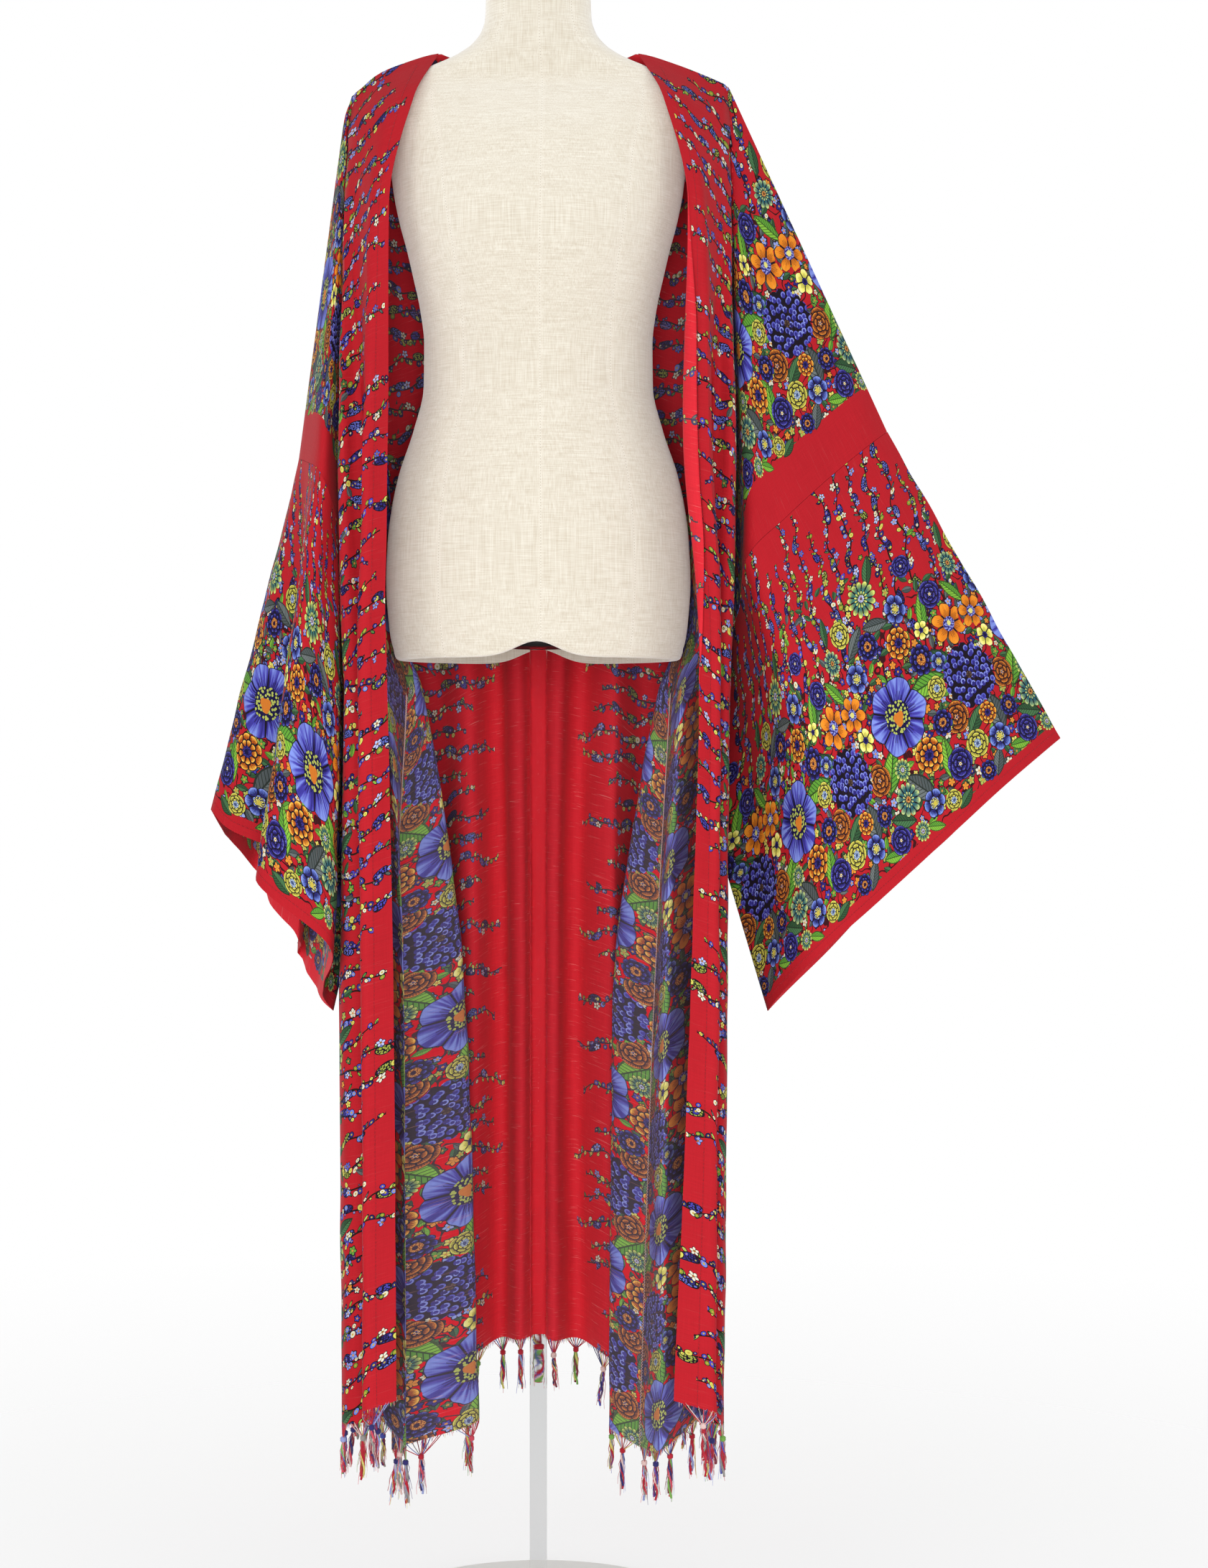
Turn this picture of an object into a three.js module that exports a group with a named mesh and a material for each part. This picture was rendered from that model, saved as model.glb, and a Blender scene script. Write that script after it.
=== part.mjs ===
// A long open robe of the kimono kind, with deep sleeves and a fringed hem, on a limbless dress form.
// Millimetres, +Z up. The origin is the middle of the stand's underside. -Y is the front, +X the wearer's left.
//
// Every cloth piece is a wall made from one surface: a point of the flat cut, "across" the cloth from the
// centre line and "down" it from the shoulder line, is carried to its place on the hanging robe.
import * as THREE from "three";

// ---------------------------------------------------------------- driving dimensions

// The flat cut of one half of the robe.
const CUT = {
  frontEdge: 100, // centre line to the front edge, on the shoulder line
  tip: 200, // centre line to the shoulder tip
  armhole: 590, // centre line to the armhole and the side seam
  cuff: 965, // centre line to the cuff
  armholeDepth: 510, // shoulder line to the underarm point
  length: 1410, // shoulder line to the hem
  fringe: 56, // reach of the knotted fringe below the hem
};
const WALL = 1.2; // the cloth
const FRINGE_WALL = 2.4;
const UNDERARM_EASE = 3;
const SEAM = 0.9; // each piece stops this short of a seam line, so that two pieces keep clear of each other

// How far below the shoulder each level of a fold table lies, along the cloth.
const LEVELS = { shoulder: 60, chest: 180, waist: 420, hip: 590, underarm: 642, thigh: 1000, hem: 1440 };
const PLUMB = 0.985; // drop in height for each millimetre of hanging cloth

// ---------------------------------------------------------------- folds of the hanging cloth

// The shoulder line from the middle of the back neck to the shoulder tip: where it lies at each place across.
const SHOULDER_LINE = [
  { across: 0, at: [0, 70, 1645] },
  { across: 50, at: [50, 62, 1643] },
  { across: 84, at: [86, 36, 1640] },
  { across: 100, at: [105, 2, 1638] },
  { across: 140, at: [142, 0, 1627] },
  { across: 176, at: [176, 0, 1614] },
  { across: 200, at: [199, 0, 1604] },
];

// One row for each fold line of a panel, in order round the body. A row is placed by "across", or past the
// shoulder tip by the share of the way from the tip to the side seam. The other columns are [x, y] at each
// level, with x counted away from the middle of the body so that both sides read alike.
const FRONT_RIGHT = [
  { fold: "edge", across: 100, shoulder: [127, -58], chest: [150, -93], waist: [149, -124], hip: [151, -131], underarm: [150, -132], thigh: [143, -130], hem: [140, -126] },
  { fold: "strip ridge", across: 138, shoulder: [154, -54], chest: [170, -90], waist: [172, -137], hip: [176, -142], underarm: [177, -142], thigh: [175, -142], hem: [173, -136] },
  { fold: "strip valley", across: 176, shoulder: [181, -38], chest: [183, -66], waist: [170, -101], hip: [167, -101], underarm: [166, -101], thigh: [160, -99], hem: [158, -96] },
  { fold: "second ridge", share: 0.1, shoulder: [198, -24], chest: [198, -62], waist: [196, -108], hip: [194, -99], underarm: [193, -96], thigh: [195, -84], hem: [194, -80] },
  { fold: "outer side", share: 0.3, shoulder: [198, -14], chest: [196, -40], waist: [189, -70], hip: [191, -46], underarm: [190, -38], thigh: [198, -24], hem: [198, -20] },
  { fold: "outer turn", share: 0.52, shoulder: [197, -6], chest: [192, -20], waist: [174, -26], hip: [179, -4], underarm: [176, 8], thigh: [180, 28], hem: [178, 30] },
  { fold: "inner fold", share: 0.78, shoulder: [192, -2], chest: [182, -2], waist: [163, 8], hip: [166, 6], underarm: [156, -18], thigh: [138, -44], hem: [136, -44] },
  { fold: "side seam", share: 1, shoulder: [194, 2], chest: [184, 6], waist: [165, 26], hip: [149, 54], underarm: [141, 68], thigh: [158, 34], hem: [156, 30] },
];
const FRONT_LEFT = [
  { fold: "edge", across: 100, shoulder: [130, -58], chest: [154, -93], waist: [150, -124], hip: [163, -133], underarm: [165, -134], thigh: [156, -132], hem: [138, -128] },
  { fold: "strip ridge", across: 138, shoulder: [156, -54], chest: [172, -90], waist: [176, -137], hip: [184, -140], underarm: [185, -140], thigh: [184, -140], hem: [180, -138] },
  { fold: "strip valley", across: 176, shoulder: [182, -38], chest: [185, -66], waist: [174, -101], hip: [172, -100], underarm: [172, -100], thigh: [172, -100], hem: [170, -98] },
  { fold: "second ridge", share: 0.1, shoulder: [199, -24], chest: [199, -62], waist: [198, -106], hip: [195, -99], underarm: [194, -98], thigh: [190, -92], hem: [188, -86] },
  { fold: "outer side", share: 0.3, shoulder: [199, -14], chest: [198, -40], waist: [191, -70], hip: [192, -46], underarm: [192, -40], thigh: [190, -30], hem: [188, -26] },
  { fold: "outer turn", share: 0.52, shoulder: [198, -6], chest: [194, -20], waist: [176, -26], hip: [179, -4], underarm: [176, 6], thigh: [176, 24], hem: [174, 28] },
  { fold: "inner fold", share: 0.76, shoulder: [192, -2], chest: [182, -2], waist: [163, 6], hip: [165, 4], underarm: [150, -30], thigh: [132, -66], hem: [128, -64] },
  { fold: "side seam", share: 1, shoulder: [194, 2], chest: [184, 5], waist: [165, 22], hip: [149, 50], underarm: [140, 63], thigh: [121, 44], hem: [106, 44] },
];
const BACK_RIGHT = [
  { fold: "centre", across: 0, shoulder: [0, 98], chest: [0, 121], waist: [0, 146], hip: [1, 166], underarm: [2, 172], thigh: [4, 186], hem: [5, 184] },
  { fold: "centre pleat", across: 45, shoulder: [46, 96], chest: [45, 122], waist: [36, 134], hip: [28, 146], underarm: [26, 148], thigh: [22, 158], hem: [24, 156] },
  { fold: "centre ridge", across: 90, shoulder: [92, 84], chest: [90, 118], waist: [68, 150], hip: [54, 178], underarm: [50, 182], thigh: [44, 198], hem: [46, 196] },
  { fold: "inner pleat", across: 140, shoulder: [142, 62], chest: [136, 106], waist: [104, 128], hip: [84, 144], underarm: [80, 146], thigh: [74, 156], hem: [76, 154] },
  { fold: "shoulder pleat", share: 0, shoulder: [192, 30], chest: [188, 78], waist: [150, 118], hip: [124, 170], underarm: [118, 180], thigh: [108, 196], hem: [108, 192] },
  { fold: "back corner", share: 0.25, shoulder: [198, 22], chest: [196, 64], waist: [182, 110], hip: [177, 158], underarm: [176, 168], thigh: [178, 178], hem: [178, 172] },
  { fold: "outer side", share: 0.43, shoulder: [198, 16], chest: [198, 54], waist: [190, 88], hip: [190, 118], underarm: [190, 124], thigh: [194, 118], hem: [194, 112] },
  { fold: "inner valley", share: 0.6, shoulder: [195, 13], chest: [190, 44], waist: [173, 74], hip: [162, 102], underarm: [160, 106], thigh: [132, 116], hem: [126, 110] },
  { fold: "flower ridge", share: 0.76, shoulder: [192, 10], chest: [183, 36], waist: [163, 66], hip: [146, 84], underarm: [128, 84], thigh: [80, 90], hem: [66, 88] },
  { fold: "side seam", share: 1, shoulder: [195, 11], chest: [185, 33], waist: [163, 66], hip: [148, 75], underarm: [141, 68], thigh: [158, 34], hem: [156, 30] },
];
const BACK_LEFT = [
  { fold: "centre", across: 0, shoulder: [0, 98], chest: [0, 121], waist: [0, 146], hip: [-1, 166], underarm: [-2, 172], thigh: [-4, 186], hem: [-5, 184] },
  { fold: "centre pleat", across: 45, shoulder: [46, 96], chest: [45, 122], waist: [34, 136], hip: [25, 148], underarm: [22, 150], thigh: [16, 160], hem: [14, 152] },
  { fold: "centre ridge", across: 90, shoulder: [94, 84], chest: [92, 118], waist: [66, 148], hip: [50, 174], underarm: [46, 178], thigh: [38, 192], hem: [40, 190] },
  { fold: "inner pleat", across: 140, shoulder: [144, 62], chest: [138, 106], waist: [102, 126], hip: [84, 140], underarm: [80, 142], thigh: [76, 150], hem: [74, 144] },
  { fold: "shoulder pleat", share: 0, shoulder: [194, 30], chest: [190, 78], waist: [150, 120], hip: [118, 168], underarm: [112, 178], thigh: [102, 192], hem: [104, 188] },
  { fold: "back corner", share: 0.25, shoulder: [200, 22], chest: [198, 64], waist: [184, 110], hip: [174, 160], underarm: [172, 170], thigh: [172, 178], hem: [172, 174] },
  { fold: "outer side", share: 0.48, shoulder: [200, 16], chest: [200, 54], waist: [192, 88], hip: [187, 118], underarm: [186, 124], thigh: [186, 120], hem: [186, 116] },
  { fold: "inner valley", share: 0.67, shoulder: [195, 13], chest: [190, 44], waist: [173, 74], hip: [160, 100], underarm: [158, 104], thigh: [134, 106], hem: [132, 104] },
  { fold: "flower ridge", share: 0.84, shoulder: [192, 10], chest: [182, 35], waist: [162, 65], hip: [145, 80], underarm: [128, 80], thigh: [78, 84], hem: [74, 84] },
  { fold: "side seam", share: 1, shoulder: [195, 11], chest: [185, 32], waist: [163, 64], hip: [148, 71], underarm: [140, 63], thigh: [121, 44], hem: [106, 44] },
];

// The sleeves: one row for each line from the armhole to the cuff, at a depth below the top fold.
// The first row is the top fold and the last the underarm seam, which the two layers share.
const SLEEVE_RIGHT = {
  front: [
    { depth: 0, armhole: [249, 0, 1213], cuff: [344, 4, 843] },
    { depth: 30, armhole: [249, -17, 1210], cuff: [328, -12, 826] },
    { depth: 95, armhole: [238, -52, 1203], cuff: [262, -18, 796] },
    { depth: 185, armhole: [220, -92, 1188], cuff: [286, -88, 772] },
    { depth: 290, armhole: [206, -74, 1140], cuff: [210, -104, 706] },
    { depth: 400, armhole: [196, -6, 1062], cuff: [222, -46, 660] },
    { depth: 485, armhole: [168, 48, 992], cuff: [220, -12, 641] },
    { depth: 510, cuff: [213, -2, 632] },
  ],
  back: [
    { depth: 0, armhole: [249, 0, 1213], cuff: [344, 4, 843] },
    { depth: 30, armhole: [251, 17, 1210], cuff: [338, 28, 826] },
    { depth: 95, armhole: [248, 52, 1203], cuff: [332, 86, 806] },
    { depth: 165, armhole: [239, 80, 1191], cuff: [312, 138, 772] },
    { depth: 225, armhole: [231, 95, 1170], cuff: [290, 97, 736] },
    { depth: 280, armhole: [223, 105, 1143], cuff: [260, 62, 706] },
    { depth: 345, armhole: [213, 107, 1103], cuff: [262, 110, 684] },
    { depth: 410, armhole: [202, 104, 1054], cuff: [244, 80, 656] },
    { depth: 485, armhole: [172, 77, 990], cuff: [224, 22, 637] },
    { depth: 510, cuff: [213, -2, 632] },
  ],
};
const SLEEVE_LEFT = {
  front: [
    { depth: 0, armhole: [366, 0, 1240], cuff: [549, 4, 918] },
    { depth: 30, armhole: [352, -15, 1229], cuff: [530, -12, 904] },
    { depth: 95, armhole: [310, -42, 1194], cuff: [484, -40, 868] },
    { depth: 185, armhole: [256, -78, 1144], cuff: [420, -64, 812] },
    { depth: 290, armhole: [216, -92, 1102], cuff: [352, -82, 752] },
    { depth: 400, armhole: [206, -24, 1040], cuff: [284, -74, 690] },
    { depth: 485, armhole: [174, 44, 990], cuff: [246, -42, 647] },
    { depth: 510, cuff: [237, -30, 634] },
  ],
  back: [
    { depth: 0, armhole: [366, 0, 1240], cuff: [549, 4, 918] },
    { depth: 30, armhole: [354, 16, 1229], cuff: [532, 20, 903] },
    { depth: 95, armhole: [318, 50, 1196], cuff: [492, 50, 866] },
    { depth: 185, armhole: [272, 86, 1150], cuff: [436, 76, 808] },
    { depth: 290, armhole: [236, 108, 1104], cuff: [366, 92, 746] },
    { depth: 400, armhole: [212, 100, 1046], cuff: [300, 48, 684] },
    { depth: 485, armhole: [176, 74, 990], cuff: [250, 0, 643] },
    { depth: 510, cuff: [237, -30, 634] },
  ],
};

// side is the sign of x.
const RIGHT = { name: "right", side: -1, front: FRONT_RIGHT, back: BACK_RIGHT, sleeve: SLEEVE_RIGHT, other: () => LEFT };
const LEFT = { name: "left", side: 1, front: FRONT_LEFT, back: BACK_LEFT, sleeve: SLEEVE_LEFT, other: () => RIGHT };

// ---------------------------------------------------------------- the surface of the hanging cloth

const mix = (a, b, t) => a + (b - a) * t;
const mixPoints = (p, q, t) => p.map((v, i) => mix(v, q[i], t));

// A smooth curve through rows of numbers at rising places. It never swings past its rows, unless "rounded",
// when it turns each fold round rather than to a point.
function smoothRow(places, rows, at, rounded = false) {
  const last = places.length - 1;
  const x = Math.min(Math.max(at, places[0]), places[last]);
  let k = 0;
  while (k < last - 1 && x > places[k + 1]) k += 1;
  const span = places[k + 1] - places[k];
  const t = (x - places[k]) / span;
  const gap = (i) => places[i + 1] - places[i];
  const rise = (i, c) => (rows[i + 1][c] - rows[i][c]) / gap(i);
  const slope = (i, c) => {
    if (i === 0) return rise(0, c);
    if (i === last) return rise(last - 1, c);
    const [before, after] = [rise(i - 1, c), rise(i, c)];
    if (rounded) return (before * gap(i) + after * gap(i - 1)) / (gap(i - 1) + gap(i));
    return before * after > 0 ? (2 * before * after) / (before + after) : 0;
  };
  return rows[k].map((start, c) => {
    const h = rows[k + 1][c] - start;
    const [m0, m1] = [slope(k, c) * span, slope(k + 1, c) * span];
    return start + t * (m0 + t * (3 * h - 2 * m0 - m1 + t * (m0 + m1 - 2 * h)));
  });
}

const shoulderLine = (across) => smoothRow(SHOULDER_LINE.map((r) => r.across), SHOULDER_LINE.map((r) => r.at), across);
const TIP = shoulderLine(CUT.tip);
const HALF_BODY = CUT.armhole - CUT.tip;
const SEAM_REACH = Math.hypot(HALF_BODY, CUT.armholeDepth); // shoulder tip to the underarm point

// One fold line at a distance down the cloth from the shoulder. The side seam starts afresh at the underarm, so
// that the front's and the back's run as one below it.
function alongFold(row, down) {
  const top = row.across === undefined ? TIP : shoulderLine(row.across);
  const stops = [[0, top.slice(0, 2)], ...Object.entries(LEVELS).map(([name, level]) => [level, row[name]])];
  const used = stops.filter(([level]) => row.share !== 1 || (down < LEVELS.underarm ? level <= LEVELS.underarm : level >= LEVELS.underarm));
  const [x, y] = smoothRow(used.map((stop) => stop[0]), used.map((stop) => stop[1]), down);
  return [x, y, top[2] - PLUMB * down];
}

// A point of the body cloth, from the panel's folds. Past the shoulder tip the cloth fans out from the tip.
function bodyPoint(half, panel, across, down) {
  const rows = half[panel];
  const past = Math.max(across - CUT.tip, 0);
  const reach = Math.hypot(past, down);
  const places = rows.map((row) => row.across ?? CUT.tip + HALF_BODY * row.share);
  const lines = rows.map((row) => (depth) => alongFold(row, depth));
  if (panel === "back") {
    // The back is one piece, so the first fold past its centre line shapes the centre too.
    places.unshift(-places[1]);
    lines.unshift((depth) => alongFold(half.other().back[1], depth).map((v, i) => (i === 0 ? -v : v)));
  }
  let at = across;
  if (past > 0) {
    const seamTurn = Math.asin(HALF_BODY / Math.max(reach, SEAM_REACH));
    at = CUT.tip + (HALF_BODY * Math.atan2(past, down)) / seamTurn;
  }
  const point = smoothRow(places, lines.map((line) => line(reach)), at, true);
  // Close to the shoulder line the cloth keeps to that line.
  const near = Math.max(1 - reach / LEVELS.shoulder, 0);
  const drawn = smoothRow(places, lines.map((line) => line(0)), at, true);
  return shoulderLine(across).map((v, i) => point[i] + near * (v - drawn[i]));
}

const underarmPoint = (half) => alongFold(half.front.at(-1), SEAM_REACH);

// The line of a sleeve's armhole or cuff end at a depth below the top fold.
function sleeveEnd(half, panel, end, depth) {
  const rows = half.sleeve[panel];
  return smoothRow(rows.map((r) => r.depth), rows.map((r) => r[end] ?? underarmPoint(half)), depth, true);
}

// A point of the cloth between the shoulder tip and the armhole: the share of the way to the armhole, at a
// depth there. It is straight along the top fold and follows the panel's last fold line at the underarm.
function capPoint(half, panel, depth, share) {
  const straight = mixPoints(TIP, underarmPoint(half), share);
  const bowed = alongFold(half[panel].at(-1), share * SEAM_REACH);
  const weight = (depth / CUT.armholeDepth) ** 3;
  const ruled = mixPoints(TIP, sleeveEnd(half, panel, "armhole", depth), share);
  return ruled.map((v, i) => v + weight * (bowed[i] - straight[i]));
}

// A point of the half robe's front or back, anywhere from the centre line to the cuff.
function clothPoint(half, panel, across, down) {
  const past = across - CUT.tip;
  let point;
  if (across > CUT.armhole) {
    const t = (across - CUT.armhole) / (CUT.cuff - CUT.armhole);
    point = mixPoints(sleeveEnd(half, panel, "armhole", down), sleeveEnd(half, panel, "cuff", down), t);
  } else if (past > 0 && down / past < CUT.armholeDepth / HALF_BODY) {
    point = capPoint(half, panel, (down * HALF_BODY) / past, past / HALF_BODY);
  } else {
    point = bodyPoint(half, panel, across, down);
  }
  return [half.side * point[0], point[1], point[2]];
}

// The cloth's outward direction at a point, the mean of the four cells round it. The stencil reaches across the
// armhole and over the centre line of the back, so that neighbours agree there.
function outwardAt(half, panel, across, down) {
  const step = 10;
  const lowest = across > CUT.armhole ? CUT.armholeDepth : CUT.length + CUT.fringe;
  const widest = down > CUT.armholeDepth ? CUT.armhole : CUT.cuff;
  const narrowest = panel === "front" ? CUT.frontEdge : -step;
  const point = (a, d) => new THREE.Vector3(...clothPoint(a < 0 ? half.other() : half, panel, Math.abs(a), d));
  const middle = point(across, down);
  const [before, after] = [-step, step].map((d) => point(Math.min(Math.max(across + d, narrowest), widest), down).sub(middle));
  const [above, below] = [-step, step].map((d) => point(across, Math.min(Math.max(down + d, 0), lowest)).sub(middle));
  const cells = [[after, below], [below, before], [before, above], [above, after]];
  const outward = cells.reduce((sum, [p, q]) => sum.add(p.clone().cross(q).normalize()), new THREE.Vector3());
  return outward.normalize().multiplyScalar(half.side * (panel === "front" ? -1 : 1));
}

// The inner and outer points of the cloth's wall at one place.
function clothPair(half, panel, across, down, wall = WALL) {
  const inner = new THREE.Vector3(...clothPoint(half, panel, across, down));
  const outward = outwardAt(half, panel, across, down);
  const onFold = across > CUT.armhole && (down === 0 || down === CUT.armholeDepth);
  if (onFold) outward.add(outwardAt(half, panel === "front" ? "back" : "front", across, down)).normalize();
  return [inner.toArray(), inner.clone().add(outward.multiplyScalar(wall)).toArray()];
}

// ---------------------------------------------------------------- solids

// A closed solid from triangles over a list of points.
function solid(points, triangles) {
  const geometry = new THREE.BufferGeometry();
  geometry.setAttribute("position", new THREE.Float32BufferAttribute(points.flat(), 3));
  geometry.setIndex(triangles);
  geometry.computeVertexNormals();
  return geometry;
}

// A closed wall over a grid of [inner, outer] pairs of points, with its outer face on the side where
// "along a row" turned towards "down a column" points. "closed" joins the last column to the first. The cells
// before column "turnedTo" are cut along their other diagonal.
function wallOver(grid, { closed = false, turnedTo = 0 } = {}) {
  const rows = grid.length;
  const columns = grid[0].length;
  const inside = (i, j) => i * columns + (j % columns);
  const outside = (i, j) => rows * columns + inside(i, j);
  const triangles = [];
  const quad = (a, b, c, d, j = turnedTo) => triangles.push(...(j < turnedTo ? [b, c, d, b, d, a] : [a, b, c, a, c, d]));
  const spans = closed ? columns : columns - 1;
  for (let i = 0; i < rows - 1; i += 1) {
    for (let j = 0; j < spans; j += 1) {
      quad(outside(i, j), outside(i, j + 1), outside(i + 1, j + 1), outside(i + 1, j), j);
      quad(inside(i, j), inside(i + 1, j), inside(i + 1, j + 1), inside(i, j + 1), j);
    }
  }
  for (let j = 0; j < spans; j += 1) {
    quad(inside(0, j), inside(0, j + 1), outside(0, j + 1), outside(0, j));
    quad(inside(rows - 1, j + 1), inside(rows - 1, j), outside(rows - 1, j), outside(rows - 1, j + 1));
  }
  for (let i = 0; i < rows - 1 && !closed; i += 1) {
    quad(inside(i + 1, 0), inside(i, 0), outside(i, 0), outside(i + 1, 0));
    quad(inside(i, spans), inside(i + 1, spans), outside(i + 1, spans), outside(i, spans));
  }
  const pairs = grid.flat();
  return solid([...pairs.map((pair) => pair[0]), ...pairs.map((pair) => pair[1])], triangles);
}

// A closed solid through rings of points, the lowest first, each ring turning left seen from above.
function loftThrough(rings) {
  const count = rings[0].length;
  const points = rings.flat();
  const triangles = [];
  for (let i = 0; i < rings.length - 1; i += 1) {
    for (let j = 0; j < count; j += 1) {
      const [a, b] = [i * count + j, i * count + ((j + 1) % count)];
      triangles.push(a, b, b + count, a, b + count, a + count);
    }
  }
  const middle = (ring) => ring.reduce((sum, p) => sum.map((v, i) => v + p[i] / count), [0, 0, 0]);
  const [low, high] = [points.length, points.length + 1];
  points.push(middle(rings[0]), middle(rings.at(-1)));
  for (let j = 0; j < count; j += 1) {
    const top = (rings.length - 1) * count;
    triangles.push(low, (j + 1) % count, j, high, top + j, top + ((j + 1) % count));
  }
  return solid(points, triangles);
}

// ---------------------------------------------------------------- the robe

const ARM_DEPTHS = [0, 14, 30, 60, 95, 140, 185, 240, 290, 345, 400, 450, 485, 510];
const SKIRT_PLACES = [560, 640, 740, 860, 1000, 1140, 1280, 1410];
const SLEEVE_PLACES = [0, 0.16, 0.33, 0.5, 0.67, 0.84, 1];

// The places across a panel, kept short of its edges: "parts" cells from one fold line to the next as far as
// the shoulder tip, and then a line where each sleeve depth crosses the way from the tip to the underarm.
function placesAcross(rows, parts, first, last) {
  const folds = [...rows.filter((row) => row.across !== undefined).map((row) => row.across), CUT.tip];
  const places = folds.slice(1).flatMap((fold, i) => Array.from({ length: parts }, (_, k) => mix(folds[i], fold, k / parts)));
  places.push(...ARM_DEPTHS.map((depth) => CUT.tip + (HALF_BODY * depth) / CUT.armholeDepth));
  return places.map((place) => Math.min(Math.max(place, first), last));
}

// The places down a panel, kept short of the shoulder line.
const placesDown = () => [SEAM, ...ARM_DEPTHS.slice(1), ...SKIRT_PLACES];

const SIDE_EDGE = CUT.armhole - SEAM;

function frontGrid(half, places, wall) {
  const across = placesAcross(half.front, 3, CUT.frontEdge, SIDE_EDGE);
  if (half.side > 0) across.reverse();
  return places.map((down) => across.map((at) => clothPair(half, "front", at, down, wall)));
}

function backGrid(places, wall) {
  const right = placesAcross(RIGHT.back, 2, 0, SIDE_EDGE).reverse();
  const left = placesAcross(LEFT.back, 2, 0, SIDE_EDGE).slice(1);
  return places.map((down) => [
    ...right.map((at) => clothPair(RIGHT, "back", at, down, wall)),
    ...left.map((at) => clothPair(LEFT, "back", at, down, wall)),
  ]);
}

function sleeveGrid(half) {
  const down = ARM_DEPTHS.map((depth) => ({ panel: "front", depth }));
  const up = ARM_DEPTHS.slice(1, -1).reverse().map((depth) => ({ panel: "back", depth }));
  const round = [...down, ...up];
  if (half.side < 0) round.reverse();
  // Near the underarm, where three pieces meet, the sleeve hangs a little further out.
  const shift = (depth) => half.side * UNDERARM_EASE * (depth / CUT.armholeDepth) ** 6;
  return SLEEVE_PLACES.map((place) =>
    round.map(({ panel, depth }) => {
      const pair = clothPair(half, panel, mix(CUT.armhole + SEAM, CUT.cuff, place), depth);
      return pair.map(([x, y, z]) => [x + shift(depth), y, z]);
    }),
  );
}

const fringePlaces = [CUT.length + 2.4 * SEAM, CUT.length + CUT.fringe];

// ---------------------------------------------------------------- the dress form and its stand

// One row for each level section of the form: its half width, and its reach to the front and to the back.
const FORM_SECTIONS = [
  { z: 1000, half: 149, front: 93, back: 104 },
  { z: 1011, half: 152.5, front: 96, back: 108 },
  { z: 1037, half: 157, front: 100, back: 114 },
  { z: 1083, half: 160, front: 104, back: 118 },
  { z: 1128, half: 158, front: 104, back: 116 },
  { z: 1165, half: 153, front: 101, back: 110 },
  { z: 1196, half: 146, front: 98, back: 101 },
  { z: 1241, half: 131, front: 90, back: 88 },
  { z: 1287, half: 120.5, front: 84, back: 79 },
  { z: 1332, half: 120, front: 87, back: 79 },
  { z: 1370, half: 124.5, front: 99, back: 85 },
  { z: 1400, half: 131, front: 110, back: 91 },
  { z: 1430, half: 138, front: 116, back: 95 },
  { z: 1460, half: 146, front: 115, back: 97 },
  { z: 1490, half: 152, front: 107, back: 97 },
  { z: 1513, half: 155, front: 97, back: 95 },
  { z: 1540, half: 162, front: 86, back: 91 },
  { z: 1570, half: 172, front: 66, back: 78 },
  { z: 1588, half: 175, front: 52, back: 62 },
  { z: 1599, half: 168, front: 43, back: 52 },
  { z: 1610, half: 144, front: 39, back: 46 },
  { z: 1623, half: 115, front: 40, back: 46 },
  { z: 1634, half: 89, front: 42, back: 48 },
  { z: 1645, half: 72, front: 43, back: 49 },
  { z: 1658, half: 61, front: 44, back: 50 },
  { z: 1674, half: 56, front: 43, back: 49 },
  { z: 1697, half: 55, front: 43, back: 49 },
];
const FORM = { around: 48, rim: 9, recess: 26, archHalf: 29.5, archRise: 16 };

function formSection(z) {
  const [half, front, back] = smoothRow(FORM_SECTIONS.map((s) => s.z), FORM_SECTIONS.map((s) => [s.half, s.front, s.back]), z);
  return { half, front, back };
}

// One ring of the form. The lowest rings arch up in the middle of the front and back.
function formRing(z, { inset = 0, arch = 0 } = {}) {
  const { half, front, back } = formSection(z);
  return Array.from({ length: FORM.around }, (_, k) => {
    const angle = (2 * Math.PI * k) / FORM.around;
    const x = (half - inset) * Math.cos(angle);
    const y = ((Math.sin(angle) < 0 ? front : back) - inset) * Math.sin(angle);
    return [x, y, z + arch * Math.exp(-((x / FORM.archHalf) ** 2))];
  });
}

function dressForm() {
  const base = FORM_SECTIONS[0].z;
  const levels = FORM_SECTIONS.slice(1, -1).flatMap((s, i) => [s.z, mix(s.z, FORM_SECTIONS[i + 2].z, 0.5)]);
  return loftThrough([
    formRing(base, { inset: FORM.rim, arch: FORM.archRise }).map(([x, y]) => [x, y, base + FORM.recess]),
    formRing(base, { inset: FORM.rim, arch: FORM.archRise }),
    formRing(base, { inset: 1.5, arch: FORM.archRise }),
    ...levels.map((z, i) => formRing(z, { arch: i === 0 ? FORM.archRise * 0.8 : 0 })),
    formRing(FORM_SECTIONS.at(-1).z - 2),
    formRing(FORM_SECTIONS.at(-1).z, { inset: 2 }),
  ]);
}

const STAND = { baseRadius: 165, baseHeight: 10, edge: 3, poleRadius: 9, socketRadius: 42, socketHeight: 13, gap: 0.3 };

// A turned solid about the vertical through the origin, from [radius, z] pairs, the lowest first.
function turned(profile, around = 48) {
  return loftThrough(
    profile.map(([radius, z]) =>
      Array.from({ length: around }, (_, k) => {
        const angle = (2 * Math.PI * k) / around;
        return [radius * Math.cos(angle), radius * Math.sin(angle), z];
      }),
    ),
  );
}

// ---------------------------------------------------------------- assembly

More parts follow.
